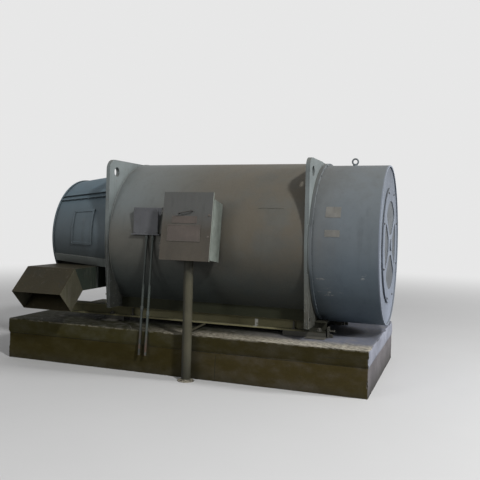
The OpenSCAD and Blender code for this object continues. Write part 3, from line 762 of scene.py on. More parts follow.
def concrete_sides(finish, front, ends):
    """Oily long sides, paler and bluer below the joint towards the covered end, and ends paler and bluer above and dark
    at the floor; the bluish paleness is painted light.
    """
    tones = colours()
    upper = finish.ramp(finish.height, BLOCK_TOP - 0.01, BLOCK_TOP + 0.01)
    lower = finish.ramp(finish.height, BLOCK_TOP + 0.01, BLOCK_TOP - 0.01)
    runs = finish.noise(7, 6, 0.62, (0.5, 1, 0.9))
    finish.layer(finish.product(front, finish.ramp(runs, 0.26, 0.6, 0.88, 1.0)), tones.oil)
    drive_end = finish.ramp(finish.along, 1.2, -1.1)
    covered_end = finish.ramp(finish.along, -0.6, 1.3)
    finish.tint(finish.product(front, drive_end), (1.28, 1.40, 1.40))
    finish.tint(finish.product(front, lower), (0.78, 0.70, 0.46))
    # Painted bluish light on the lower long sides towards the covered end.
    finish.tint(finish.product(front, lower, covered_end), (2.15, 2.30, 3.90))
    # Painted bluish light on the upper ends.
    finish.tint(finish.product(ends, upper), (1.32, 1.45, 1.80))
    finish.tint(finish.product(ends, lower), (0.75, 0.74, 0.81))
    splash = finish.ramp(finish.noise(16, 6, 0.7, (0.5, 1, 1.4)), 0.58, 0.70)
    finish.layer(finish.product(splash, front), times(tones.oil, 1.8), 0.35)
    low_band = finish.product(finish.ramp(finish.height, 0.16, 0.0), finish.ramp(finish.patch, 0.3, 0.6))
    finish.layer(low_band, tones.dust, 0.15)
    finish.layer(finish.product(ends, finish.ramp(finish.height, 0.24, 0.0)), tones.grime_and_shade, 0.45)


def concrete_top(finish, top):
    """Brown dirt at the drive end, pale dust with painted bluish light at the covered end, and a worn, flecked near
    edge.
    """
    pale_dust_and_light_colour = (0.140, 0.156, 0.208)
    worn_colour = (0.215, 0.190, 0.140)
    fleck_colour = (0.50, 0.46, 0.37)
    brown = finish.product(top, finish.ramp(finish.along, 1.5, 0.3),
                           finish.ramp(finish.patch, 0.3, 0.62, 0.70, 1.0))
    finish.layer(brown, times(colours().dust, 0.12, 0.13, 0.04))
    pale = finish.product(top, finish.ramp(finish.along, 0.9, 1.6),
                          finish.ramp(finish.patch, 0.3, 0.6, 0.35, 0.8))
    # Pale dust with painted bluish light at the covered end.
    finish.layer(pale, pale_dust_and_light_colour)
    near = finish.product(top, finish.ramp(finish.across, SLAB_FRONT_Y + 0.36, SLAB_FRONT_Y + 0.12),
                          finish.ramp(finish.along, -0.7, 0.6))
    finish.layer(near, worn_colour, 0.65)
    flecks = finish.ramp(finish.noise(42, 5, 0.75, (0.6, 1, 1)), 0.44, 0.56)
    finish.layer(finish.product(near, flecks), fleck_colour, 0.85)


def concrete_joints(finish, front):
    """Worn brow of the long sides, broken seam between the layers, a split and the cast line."""
    grime_and_shade = colours().grime_and_shade
    brow_colour = (0.26, 0.24, 0.19)
    pale_seam_colour = (0.11, 0.095, 0.06)
    brow = finish.product(front, finish.ramp(finish.height, SLAB_TOP - 0.022, SLAB_TOP - 0.006),
                          finish.ramp(finish.noise(16, 6, 0.7), 0.45, 0.56))
    finish.layer(brow, brow_colour, 0.6)
    wavy = finish.uneven(finish.height, finish.noise(9, 6, 0.65), 0.022)
    seam = finish.product(front, finish.within(wavy, BLOCK_TOP + 0.008, BLOCK_TOP + 0.013, 0.003),
                          finish.ramp(finish.noise(4, 5, 0.6), 0.42, 0.56),
                          finish.ramp(finish.along, 1.6, 1.0))
    finish.layer(seam, grime_and_shade, 0.7)
    pale_seam = finish.product(front, finish.within(wavy, BLOCK_TOP + 0.013, BLOCK_TOP + 0.019, 0.002),
                               finish.within(finish.along, 1.1, 1.5, 0.1))
    finish.layer(pale_seam, pale_seam_colour, 0.7)
    crack = finish.product(front, finish.within(wavy, BLOCK_TOP + 0.080, BLOCK_TOP + 0.085, 0.002),
                           finish.ramp(finish.along, 1.55, 1.75), finish.ramp(finish.noise(5, 3), 0.4, 0.5))
    finish.layer(crack, grime_and_shade, 0.7)
    bent = finish.uneven(finish.along, finish.noise(6, 4, 0.6), 0.03)
    line_x = sizes().form_joint_x + 0.013
    cast_line = finish.product(front, finish.within(bent, line_x, line_x + 0.006, 0.002),
                               finish.ramp(finish.height, BLOCK_TOP - 0.01, BLOCK_TOP - 0.04))
    finish.layer(cast_line, grime_and_shade, 0.75)


def concrete_cracks(finish, top):
    """Slanting lines scored into the top near the covered end, and fine wandering cracks."""
    slanting = finish.maths("ADD", finish.product(finish.along, 0.8), finish.across)
    lines = finish.maths("SINE", finish.product(slanting, 34.0))
    scored = finish.product(
        top, finish.ramp(lines, 0.90, 0.98),
        finish.ramp(finish.across, SLAB_FRONT_Y + 0.42, SLAB_FRONT_Y + 0.30),
        finish.within(finish.along, 1.50, 2.05, 0.08), finish.ramp(finish.noise(6, 3), 0.42, 0.55))
    finish.layer(scored, colours().grime_and_shade, 0.5)
    cells = add_node(finish.tree, "ShaderNodeTexVoronoi", {"Vector": finish.place, "Scale": 1.6},
                     feature="DISTANCE_TO_EDGE")
    wander = finish.uneven(cells.outputs["Distance"], finish.patch, 0.05)
    crack = finish.product(finish.ramp(wander, 0.034, 0.027),
                           finish.ramp(finish.noise(2.4, 3), 0.5, 0.56), top)
    finish.layer(crack, times(colours().concrete, 1.1), 0.6)


def foundation_concrete(name):
    """Cast concrete: dirty top, oily long sides, pale ends, pits, cracks and chipped edges."""
    colour = colours().concrete
    finish = Finish(name)
    finish.body(colour, 0.2)
    finish.fine = finish.noise(140, 5, 0.75)
    finish.patch = finish.noise(11, 7, 0.65)
    finish.layer(finish.ramp(finish.patch, 0.45, 0.68), times(colour, 0.6), 0.45)
    front = finish.sides(1, 0.35, 0.85)
    top = finish.ramp(finish.facing[2], 0.35, 0.85)
    concrete_sides(finish, front, finish.sides(0, 0.35, 0.85))
    concrete_top(finish, top)
    concrete_joints(finish, front)
    concrete_cracks(finish, top)
    joint = finish.within(finish.height, BLOCK_TOP - 0.015, BLOCK_TOP + 0.015, 0.004)
    chipped = finish.product(finish.worn(0.012), finish.ramp(finish.patch, 0.42, 0.6, 0.1, 0.55),
                             finish.maths("SUBTRACT", 1.0, joint))
    finish.layer(chipped, times(colour, 0.75))
    finish.corners(0.7, 0.2)
    specks = finish.ramp(finish.fine, 0.35, 0.65, 0.82, 1.12)
    grey = add_node(finish.tree, "ShaderNodeCombineColor", {0: specks, 1: specks, 2: specks})
    finish.tint(1.0, grey.outputs[0])
    return finish.close(0.88, bump=0.5, depth=0.009, sheen=0.15)


MATERIALS = {}
NODE_FINISHES = {
    "casing_paint": ("casing",),
    "housing_paint": ("cover_housing", "housing_flange", "lifting_eye"),
    "plate_drive": ("frame_plate_drive", "bell_plate_drive"),
    "plate_cover": ("frame_plate_cover", "bell_plate_cover"),
    "bell_paint": ("drive_cover", "cover_seams", "inspection_panel_front", "inspection_panel_rear", "end_shield"),
    "lip_paint": ("cover_lips",),
    "screen_mesh": ("window_screen",),
    "foot_paint": ("foot_bar_front", "foot_bar_rear"),
    "rail_paint": ("base_rail_front", "base_rail_rear"),
    "neck_sheet": ("duct_neck",),
    "post_paint": ("control_post", "post_foot", "post_tie"),
    "conduit_paint": ("conduits",),
    "box_sheet": ("control_box",),
    "door_paint": ("control_box_door",),
}


def finish_nodes(material_name, *nodes):
    """Gives CAD nodes one of the finishes."""
    for node in nodes:
        mesh = frame["nodes"][node].data
        mesh.materials.clear()
        mesh.materials.append(MATERIALS[material_name])


def make_piece(name, bm, material_name, body=MACHINE, smooth=False, replaces=()):
    """Turns a bmesh into a finished piece that rides on its body."""
    bmesh.ops.remove_doubles(bm, verts=bm.verts, dist=1e-6)
    bmesh.ops.recalc_face_normals(bm, faces=bm.faces)
    mesh = bpy.data.meshes.new(name)
    bm.to_mesh(mesh)
    bm.free()
    mesh.materials.append(MATERIALS[material_name])
    piece = bpy.data.objects.new(name, mesh)
    bpy.context.scene.collection.objects.link(piece)
    for polygon in mesh.polygons:
        polygon.use_smooth = smooth
    if smooth:
        mesh.set_sharp_from_angle(angle=math.radians(32))
    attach(piece, body)
    if replaces:
        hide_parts(*replaces)
    return piece


def place_at(x, y, z):
    """A place whose own Z axis points up."""
    return Matrix.Translation((x, y, z))


def along_x(x, y, z, sign=1):
    """A place whose own Z axis points along X, either way."""
    return place_at(x, y, z) @ Matrix.Rotation(math.radians(90 * sign), 4, "Y")


def towards_front(x, y, z):
    """A place whose own Z axis points to the control side."""
    return place_at(x, y, z) @ Matrix.Rotation(math.radians(90), 4, "X")


def on_round(x, radius, degrees):
    """A point round the shaft, at an angle above the horizontal on the control side."""
    angle = math.radians(degrees)
    return Vector((x, -radius * math.cos(angle), SHAFT_Z + radius * math.sin(angle)))


def outwards(x, radius, degrees):
    """A place round the shaft whose own Z axis points away from the shaft."""
    return Matrix.Translation(on_round(x, radius, degrees)) @ Matrix.Rotation(math.radians(90 - degrees), 4, "X")


def downwards_round(x, radius, degrees):
    """A place round the shaft whose own Z axis points along the circle, downwards on the control side."""
    return Matrix.Translation(on_round(x, radius, degrees)) @ Matrix.Rotation(math.radians(180 - degrees), 4, "X")


def bell_radius(x):
    """Radius of the drive end's cover at a place along the shaft."""
    share = (BELL_NEAR_X - x) / (BELL_NEAR_X - BELL_FAR_X)
    return BELL_BIG_R + (BELL_SMALL_R - BELL_BIG_R) * share


def add_disc(bm, place, radius, thickness, sides=24, edge=0.0, top_radius=None):
    """A round disc standing on its place, with an edge cut back by a small bevel."""
    made = bmesh.ops.create_cone(
        bm, cap_ends=True, segments=sides, radius1=radius, radius2=radius if top_radius is None else top_radius,
        depth=thickness, matrix=place @ Matrix.Translation((0, 0, thickness / 2)))
    if edge:
        top = place @ Vector((0, 0, thickness))
        axis = place.to_3x3() @ Vector((0, 0, 1))
        rim = [e for e in {e for v in made["verts"] for e in v.link_edges}
               if all(abs((v.co - top).dot(axis)) < 1e-6 for v in e.verts)]
        bmesh.ops.bevel(bm, geom=rim, offset=edge, segments=2, profile=0.5, affect="EDGES", material=-1)


def add_bolt(bm, place, radius, turn=0.0):
    """A hexagonal head with a washer, standing on its place."""
    washer = radius * 0.22
    add_disc(bm, place, radius * 1.35, washer, 18)
    add_disc(bm, place @ Matrix.Translation((0, 0, washer)) @ Matrix.Rotation(turn, 4, "Z"),
             radius, radius * 0.75, 6, radius * 0.12)


def add_stud(bm, place, radius, length, nut):
    """A threaded stud with a nut and a washer, standing on its place."""
    add_bolt(bm, place, nut)
    add_disc(bm, place, radius, length, 14, radius * 0.25)


def add_box(bm, corner_low, corner_high, edge=0.0):
    """A box between two corners, with all edges rounded."""
    a, b = Vector(corner_low), Vector(corner_high)
    place = Matrix.Translation((a + b) / 2) @ Matrix.Diagonal((*(b - a), 1))
    made = bmesh.ops.create_cube(bm, size=1, matrix=place)
    if edge:
        edges = list({e for v in made["verts"] for e in v.link_edges})
        bmesh.ops.bevel(bm, geom=edges, offset=edge, segments=2, profile=0.5, affect="EDGES", material=-1)


def add_band(bm, profile, degrees_low, degrees_high, step=3.0):
    """Turns a flat outline, given as pairs of x and radius, round the shaft through part of a circle."""
    verts = [bm.verts.new(on_round(x, radius, degrees_low)) for x, radius in profile]
    face = bm.faces.new(verts)
    turn = degrees_high - degrees_low
    bmesh.ops.spin(bm, geom=[*verts, *face.edges, face], cent=(0, 0, SHAFT_Z), axis=(-1, 0, 0), dvec=(0, 0, 0),
                   angle=math.radians(turn), steps=max(2, math.ceil(turn / step)), use_merge=False,
                   use_normal_flip=True, use_duplicate=False)


def mirror_to_rear(bm):
    """Repeats what there is on the far side of the shaft."""
    bmesh.ops.mirror(bm, geom=[*bm.verts, *bm.edges, *bm.faces], matrix=Matrix.Identity(4), merge_dist=-1, axis="Y")


def cut_across(bm, axis, places):
    """Cuts a mesh with planes across one axis."""
    direction = Vector((0, 0, 0))
    direction[axis] = 1
    for place in places:
        bmesh.ops.bisect_plane(bm, geom=[*bm.verts, *bm.edges, *bm.faces], plane_co=direction * place,
                               plane_no=direction)


def even_cuts(start, end, cell):
    """Places between two ends, a cell apart."""
    count = round((end - start) / cell)
    return [start + (end - start) * k / count for k in range(1, count)]


def edge_cuts(start, end, cell, rim, wide):
    """Places between two ends, a cell apart near both ends and further apart between."""
    inner_low, inner_high = start + rim, end - rim
    return [*even_cuts(start, inner_low, cell), inner_low, *even_cuts(inner_low, inner_high, wide), inner_high,
            *even_cuts(inner_high, end, cell)]


class RoughBlock:
    """A cast block whose faces are pulled inwards: chipped along its edges, pitted and uneven."""

    def __init__(self, node, chips, seed, drawn_in):
        self.low, self.high = Vector(low(node)), Vector(high(node))
        self.drawn_in = drawn_in
        self.chips = chips
        self.seed = Vector((seed, seed * 2, seed * 3))
        self.largest = sizes().chip
        self.joint_x = sizes().form_joint_x

    def distances(self, p):
        """How far a point lies behind each of the six faces."""
        return {(axis, end): abs(p[axis] - (self.low if end < 0 else self.high)[axis])
                for axis in range(3) for end in (-1, 1)}

    def chip_width(self, p, pair):
        """Width of the cut along the edge between two faces."""
        strength = min(self.chips.get(face, 1.0) for face in pair)
        coarse = noise.fractal(p * 5 + self.seed, 0.8, 2.1, 4)
        fine = noise.fractal(p * 30 + self.seed, 0.9, 2.0, 3)
        knocked = max(0.0, coarse - 0.10) * self.largest * 2.2 * min(1.0, max(0.3, p.x / 0.7))
        return strength * min(self.largest, max(0.003, 0.005 + knocked + fine * 0.006))

    def depth(self, p, face, distance):
        """How far a face is pulled inwards at a point."""
        uneven = 0.0012 + 0.0012 * noise.noise(p * 3.1 + self.seed)
        if face[0] != 2:
            pit = noise.fractal(p * 9 + self.seed, 0.7, 2.2, 4)
            uneven += 0.006 * max(0.0, pit - 0.35) + 0.0015 * (1 + noise.noise(p * 24))
            if p.x > self.joint_x and face[0] == 1:
                uneven += 0.003
        if face[0] != 2 and self.drawn_in:
            uneven += self.drawn_in * max(0.0, 1 - distance[(2, -1)] / 0.03)
        for other, gap in distance.items():
            if other[0] != face[0] and gap < self.largest * 1.5:
                width = self.chip_width(p, (face, other))
                uneven += max(0.0, width - gap) / 2
        return uneven

    def rough(self, bm):
        """Pulls every point of the mesh inwards."""
        for vertex in bm.verts:
            place = vertex.co.copy()
            distance = self.distances(place)
            for face, gap in distance.items():
                if gap < 1e-5 and self.chips.get(face, 1.0) > 0:
                    vertex.co[face[0]] -= face[1] * self.depth(place, face, distance)


class MOTOR_OT_stage(bpy.types.Operator):
    """Makes the camera, the lights, the floor and the pale surroundings"""

    bl_idname = "motor.stage"
    bl_label = "Stage"

    def execute(self, context):
        scene = context.scene
        stage = scene.motor_stage
        camera_data = bpy.data.cameras.new("photo_camera")
        camera_data.lens = stage.lens
        camera_data.sensor_width = 36
        camera_data.shift_y = stage.shift_y
        camera_data.clip_end = 200
        camera = bpy.data.objects.new("photo_camera", camera_data)
        scene.collection.objects.link(camera)
        camera.matrix_world = (
            Matrix.Translation(stage.camera_place)
            @ Matrix.Rotation(stage.turn, 4, "Z")
            @ Matrix.Rotation(math.radians(90) + stage.tilt, 4, "X")
            @ Matrix.Rotation(stage.roll, 4, "Z"))
        scene.camera = camera
        self.add_floor(scene, stage.backdrop)
        self.add_light(scene, "key_light", stage.key_angle, stage.key_height, 14, 1.1, stage.key_power)
        self.add_light(scene, "fill_light", stage.fill_angle, stage.fill_height, 12, 2.4, stage.fill_power)
        self.add_light(scene, "side_light", stage.side_angle, stage.side_height, 14, 2.0, stage.side_power)
        self.add_world(scene, stage.sky, stage.backdrop)
        scene.view_settings.view_transform = "Standard"
        return {"FINISHED"}

    def add_light(self, scene, name, angle, height, distance, size, power):
        data = bpy.data.lights.new(name, "AREA")
        data.size = size
        data.energy = power
        lamp = bpy.data.objects.new(name, data)
        scene.collection.objects.link(lamp)
        way = Vector((math.sin(angle) * math.cos(height), -math.cos(angle) * math.cos(height), math.sin(height)))
        lamp.location = Vector((0.3, 0, SHAFT_Z)) + way * distance
        lamp.rotation_euler = way.to_track_quat("Z", "Y").to_euler()

    def add_floor(self, scene, backdrop):
        """A wide pale floor that meets the backdrop's brightness far out."""
        bm = bmesh.new()
        bmesh.ops.create_grid(bm, x_segments=1, y_segments=1, size=90)
        mesh = bpy.data.meshes.new("floor")
        bm.to_mesh(mesh)
        bm.free()
        material, tree, shader, place = new_material("floor_pale")
        seen = add_node(tree, "ShaderNodeLightPath").outputs["Is Camera Ray"]
        tone = mix(tree, cloud(tree, place, 0.8, 3), (0.62, 0.62, 0.62), (0.66, 0.66, 0.66))
        tree.links.new(mix(tree, seen, (0.24, 0.24, 0.24), tone), shader.inputs["Base Color"])
        shader.inputs["Roughness"].default_value = 0.9
        far = add_node(tree, "ShaderNodeEmission", {"Color": (1, 1, 1, 1), "Strength": backdrop})
        distance = add_node(tree, "ShaderNodeVectorMath", {0: place}, operation="LENGTH").outputs["Value"]
        blend = add_node(tree, "ShaderNodeMixShader", {
            0: product(tree, ramp(tree, distance, 4, 16), seen), 1: shader.outputs[0], 2: far.outputs[0]})
        tree.links.new(blend.outputs[0], tree.nodes["Material Output"].inputs["Surface"])
        mesh.materials.append(material)
        floor = bpy.data.objects.new("floor", mesh)
        scene.collection.objects.link(floor)

    def add_world(self, scene, strength, backdrop):
        """Soft light that is stronger from above; camera and mirror rays see the plain backdrop."""
        world = bpy.data.worlds.new("pale_room")
        world.use_nodes = True
        tree = world.node_tree
        tree.nodes.clear()
        rays = add_node(tree, "ShaderNodeLightPath").outputs
        seen = maths(tree, "MAXIMUM", rays["Is Camera Ray"], rays["Is Glossy Ray"])
        seen = maths(tree, "MAXIMUM", seen, rays["Is Transmission Ray"])
        way = add_node(tree, "ShaderNodeSeparateXYZ", {0: add_node(tree, "ShaderNodeTexCoord").outputs["Generated"]})
        light = ramp(tree, way.outputs[2], -0.1, 0.9, strength * 0.45, strength)
        level = maths(tree, "ADD", maths(tree, "MULTIPLY", light, maths(tree, "SUBTRACT", 1.0, seen)),
                      maths(tree, "MULTIPLY", seen, backdrop))
        sky = add_node(tree, "ShaderNodeBackground", {"Color": (1, 1, 1, 1), "Strength": level})
        add_node(tree, "ShaderNodeOutputWorld", {"Surface": sky.outputs[0]})
        scene.world = world


class MOTOR_OT_finishes(bpy.types.Operator):
    """Makes the finishes and gives them to the fixed pieces"""

    bl_idname = "motor.finishes"
    bl_label = "Finishes"

    def execute(self, context):
        tones = colours()
        MATERIALS["casing_paint"] = casing_paint("casing_paint")
        MATERIALS["housing_paint"] = housing_paint("housing_paint")
        # The drive end's plates get painted shadow below about 1.8 m.
        MATERIALS["plate_drive"] = plate_grime("plate_drive", tones.grime_and_shade, 1.80, 0.5, 0.93, (1, 1, 1))
        MATERIALS["plate_cover"] = plate_grime("plate_cover", (0.070, 0.080, 0.077), 1.50, 0.4, 0.8, (1.62, 1.45, 1.30))
        MATERIALS["lip_paint"] = plain_paint("lip_paint", (0.152, 0.168, 0.160), dust=0.2)
        MATERIALS["plate_rim"] = plain_paint("plate_rim", tones.rim, dust=0.2, scale=3, sheen=0.3)
        MATERIALS["rail_paint"] = rail_paint("rail_paint")
        MATERIALS["screen_mesh"] = screen_mesh("screen_mesh")
        MATERIALS["foot_paint"] = plain_paint("foot_paint", tones.foot, dust=0.12, grime_and_shade=0.3, streaks=0.2, rust=0.1,
                                              sheen=0.1)
        MATERIALS["post_paint"] = post_paint("post_paint")
        MATERIALS["conduit_paint"] = conduit_paint("conduit_paint")
        MATERIALS["cover_paint"] = cover_paint("cover_paint")
        MATERIALS["bell_paint"] = bell_paint("bell_paint")
        MATERIALS["rail_steel"] = plain_paint("rail_steel", tones.gear, dust=0.5, grime_and_shade=0.6, rust=0.3)
        MATERIALS["box_paint"] = plain_paint("box_paint", tones.box, dust=0.5, rust=0.3, scale=1.6)
        MATERIALS["door_paint"] = door_paint("door_paint")
        MATERIALS["box_sheet"] = box_sheet("box_sheet")
        MATERIALS["sign_blank"] = plain_paint("sign_blank", tones.sign, dust=0.4, rust=0.2, streaks=0.5, scale=3)
        MATERIALS["label_blank"] = plain_paint("label_blank", tones.label, dust=0.3, rust=0.1, streaks=0.5, scale=3)
        MATERIALS["terminal_paint"] = terminal_paint("terminal_paint")
        # The duct's upright sides get painted bluish light, the neck's upright sides painted shadow.
        MATERIALS["duct_sheet"] = duct_paint("duct_sheet", (1.17, 1.29, 1.46))
        MATERIALS["neck_sheet"] = duct_paint("neck_sheet", (0.46, 0.68, 0.88))
        MATERIALS["dark_iron"] = plain_paint("dark_iron", tones.iron, dust=0.5, rust=0.35, scale=2, rough=0.5)
        MATERIALS["shaft_steel"] = shaft_steel("shaft_steel")
        MATERIALS["foundation_concrete"] = foundation_concrete("foundation_concrete")
        for row in frame["record"]["subparts"]:
            finish_nodes(row["material_slot"], row["node"])
        for finish, nodes in NODE_FINISHES.items():
            finish_nodes(finish, *nodes)
        return {"FINISHED"}


class MOTOR_OT_foundation(bpy.types.Operator):
    """Casts the two layers of the foundation in rough, chipped concrete"""

    bl_idname = "motor.foundation"
    bl_label = "Foundation"

    def execute(self, context):
        self.cast("foundation_slab", "plinth_slab", {(2, -1): 0.04}, 1.7, True, 0.007)
        self.cast("foundation_block", "plinth_block", {(2, -1): 0.0, (2, 1): 0.04}, 6.3, False, 0.0)
        return {"FINISHED"}

    def cast(self, name, node, chips, seed, fine_top, drawn_in):
        """Builds one layer as a finely cut box and roughens it; its lower edge can be drawn in."""
        cell = sizes().cell
        start, end = low(node), high(node)
        bm = bmesh.new()
        add_box(bm, start, end)
        cut_across(bm, 0, even_cuts(start.x, end.x, cell))
        cut_across(bm, 1, edge_cuts(start.y, end.y, cell, cell * 5, cell * 3))
        cut_across(bm, 2, even_cuts(start.z, end.z, cell))
        hidden = [f for f in bm.faces if f.normal.z < -0.9 or (f.normal.z > 0.9 and not fine_top)]
        bmesh.ops.dissolve_faces(bm, faces=hidden, use_verts=True)
        RoughBlock(node, chips, seed, drawn_in).rough(bm)
        make_piece(name, bm, "foundation_concrete", smooth=True, replaces=(node,))


class MOTOR_OT_flange_bolts(bpy.types.Operator):
    """Puts hexagonal bolts round the flange of the covered end"""

    bl_idname = "motor.flange_bolts"
    bl_label = "Flange bolts"

    def execute(self, context):
        count = sizes().flange_bolt_count
        radius = (FLANGE_R + HOUSING_R) / 2
        bm = bmesh.new()
        for k in range(count):
            point = on_round(FLANGE_FACE_X, radius, 360 * (k + 0.5) / count)
            add_bolt(bm, along_x(*point), sizes().flange_bolt, k)
        make_piece("flange_bolts", bm, "housing_paint")
        return {"FINISHED"}


class MOTOR_OT_cover_bolts(bpy.types.Operator):
    """Puts eight bolts round the cover disc"""

    bl_idname = "motor.cover_bolts"
    bl_label = "Cover bolts"

    def execute(self, context):
        face_x = high("end_cover").x
        bm = bmesh.new()
        for k in range(8):
            add_bolt(bm, along_x(*on_round(face_x, sizes().cover_bolt_ring, 22.5 + 45 * k)), sizes().cover_bolt, k)
        make_piece("cover_bolts", bm, "dark_iron")
        return {"FINISHED"}


class MOTOR_OT_drive_end_bolts(bpy.types.Operator):
    """Puts bolts in the drive cover's seams, panels, end shield and bearing"""

    bl_idname = "motor.drive_end_bolts"
    bl_label = "Drive end bolts"

    def execute(self, context):
        self.seams()
        self.panels()
        self.shield()
        return {"FINISHED"}

    def seams(self):
        """Bolts through the paired strips, heads on the lower strip's underside."""
        strip_low = 36
        strip_mid = 0.012
        bm = bmesh.new()
        for x in even_cuts(BELL_FAR_X, BELL_NEAR_X, 0.105):
            add_bolt(bm, downwards_round(x, bell_radius(x) + strip_mid, strip_low), sizes().seam_bolt, x * 9)
        mirror_to_rear(bm)
        make_piece("seam_bolts", bm, "bell_paint")

    def panels(self):
        """Screws in the rims of both inspection panels."""
        rim_top = 0.016
        start_x = BELL_NEAR_X - 0.26
        end_x = start_x - 0.31
        bm = bmesh.new()
        for x in (start_x - 0.012, (start_x + end_x) / 2, end_x + 0.012):
            for degrees in (-6, 8.5, 23):
                if (x, degrees) != ((start_x + end_x) / 2, 8.5):
                    add_bolt(bm, outwards(x, bell_radius(x) + rim_top - 0.001, degrees), sizes().screw, degrees)
        mirror_to_rear(bm)
        make_piece("panel_screws", bm, "bell_paint")

    def shield(self):
        """Bolts round the end shield and round the bearing housing's face."""
        bm = bmesh.new()
        shield_x = BELL_FAR_X - SHIELD_T
        ring = BELL_SMALL_R - 0.03
        for k in range(24):
            add_bolt(bm, along_x(*on_round(shield_x, ring, 15 * k + 7.5), -1), sizes().shield_bolt, k)
        bearing_x = low("bearing_housing").x
        bearing_ring = (high("bearing_housing").z - SHAFT_Z) * 0.82
        for k in range(8):
            add_bolt(bm, along_x(*on_round(bearing_x, bearing_ring, 45 * k + 22.5), -1), sizes().shield_bolt, k)
        make_piece("shield_bolts", bm, "dark_iron")


class MOTOR_OT_casing_marks(bpy.types.Operator):
    """Adds the weld beads at the end plates, the scar on the drum and the blank plates on the housing"""

    bl_idname = "motor.casing_marks"
    bl_label = "Casing marks"

    def execute(self, context):
        self.welds()
        self.scar()
        self.labels()
        return {"FINISHED"}

    def welds(self):
        """Round beads in the corners between the casing and the end plates."""
        bead = 0.006
        bm = bmesh.new()
        for x in (low("casing").x, high("casing").x):
            inside = 1 if x < 0 else -1
            circle = bmesh.ops.create_circle(
                bm, cap_ends=False, segments=6, radius=bead,
                matrix=place_at(x + inside * bead * 0.7, 0, SHAFT_Z + CASING_R) @ Matrix.Rotation(math.radians(90), 4, "X"))
            loop = circle["verts"]
            edges = list({e for v in loop for e in v.link_edges})
            bmesh.ops.spin(bm, geom=[*loop, *edges], cent=(0, 0, SHAFT_Z), axis=(1, 0, 0), dvec=(0, 0, 0),
                           angle=math.tau, steps=160, use_merge=True, use_duplicate=False)
        make_piece("casing_welds", bm, "casing_paint", smooth=True)

    def scar(self):
        """A short broken bead left by a weld."""
        draw = random.Random(7)
        bm = bmesh.new()
        for k in range(19):
            x = 0.925 + 0.26 * k / 18
            size = draw.uniform(0.0045, 0.0075)
            place = outwards(x, CASING_R + 0.001, 24 + draw.uniform(-0.15, 0.15))
            bmesh.ops.create_icosphere(bm, subdivisions=2, radius=1,
                                       matrix=place @ Matrix.Diagonal((size, size * 0.9, size * 0.5, 1)))
        make_piece("weld_scar", bm, "rail_steel", smooth=True)

    def labels(self):
        """Two blank plates on the housing's side, held by small rivets."""
        thick = sizes().plate_t
        bm = bmesh.new()
        for x_low, x_high, bottom, top in ((1.630, 1.783, 18.8, 26.4), (1.633, 1.785, 5.8, 10.3)):
            outline = ((x_low, HOUSING_R - 0.002), (x_high, HOUSING_R - 0.002), (x_high, HOUSING_R + thick),
                       (x_low, HOUSING_R + thick))
            add_band(bm, outline, bottom, top, 1.0)
            for x in (x_low + 0.009, x_high - 0.009):
                for degrees in (bottom + 0.6, top - 0.6):
                    add_disc(bm, outwards(x, HOUSING_R + thick * 0.8, degrees), 0.004, 0.003, 10, 0.001)
        make_piece("blank_labels", bm, "label_blank")


class MOTOR_OT_door_fittings(bpy.types.Operator):
    """Adds the blank plates, the rivets and the latches of the control box door"""

    bl_idname = "motor.door_fittings"
    bl_label = "Door fittings"

    def execute(self, context):
        thick = sizes().plate_t
        face = DOOR_FACE
        bm = bmesh.new()
        add_box(bm, (0.122, face - thick, 0.022), (0.407, face + 0.0005, 0.098), 0.001)
        add_box(bm, (0.078, face - thick, -0.168), (0.457, face + 0.0005, 0.007), 0.001)
        self.hang(bm, "door_plates", "sign_blank", "box_paint")

        rim = 0.010
        left, right, bottom, top = 0.078, 0.457, -0.168, 0.007
        bm = bmesh.new()
        for corner_low, corner_high in (
                ((left, bottom), (right, bottom + rim)), ((left, top - rim), (right, top)),
                ((left, bottom + rim), (left + rim, top - rim)), ((right - rim, bottom + rim), (right, top - rim))):
            add_box(bm, (corner_low[0], face - thick * 1.8, corner_low[1]),
                    (corner_high[0], face - thick * 0.5, corner_high[1]), 0.0008)
        for x in (0.133, 0.396):
            for z in (0.032, 0.088):
                add_disc(bm, towards_front(x, face - thick * 0.9, z), 0.0042, 0.003, 10, 0.001)
        self.hang(bm, "door_plate_frame", "plate_rim", "box_paint")

        bm = bmesh.new()
        for z in (0.108, -0.116):
            add_disc(bm, towards_front(0.542, face + 0.001, z), 0.0135, 0.005, 24, 0.0015)
            add_disc(bm, towards_front(0.542, face - 0.004, z), 0.0085, 0.005, 20, 0.0015)
        self.hang(bm, "door_latches", "plate_rim", "terminal_paint")
        return {"FINISHED"}

    def hang(self, bm, name, material_name, slot):
        """Leans what was built upright about the hinge's middle, and finishes it on the door."""
        place = Matrix.Translation(HINGE_PLACE) @ Matrix.Rotation(-DOOR_LEAN, 4, "X")
        bmesh.ops.transform(bm, matrix=place, verts=bm.verts)
        make_piece(name, bm, material_name, DOOR)


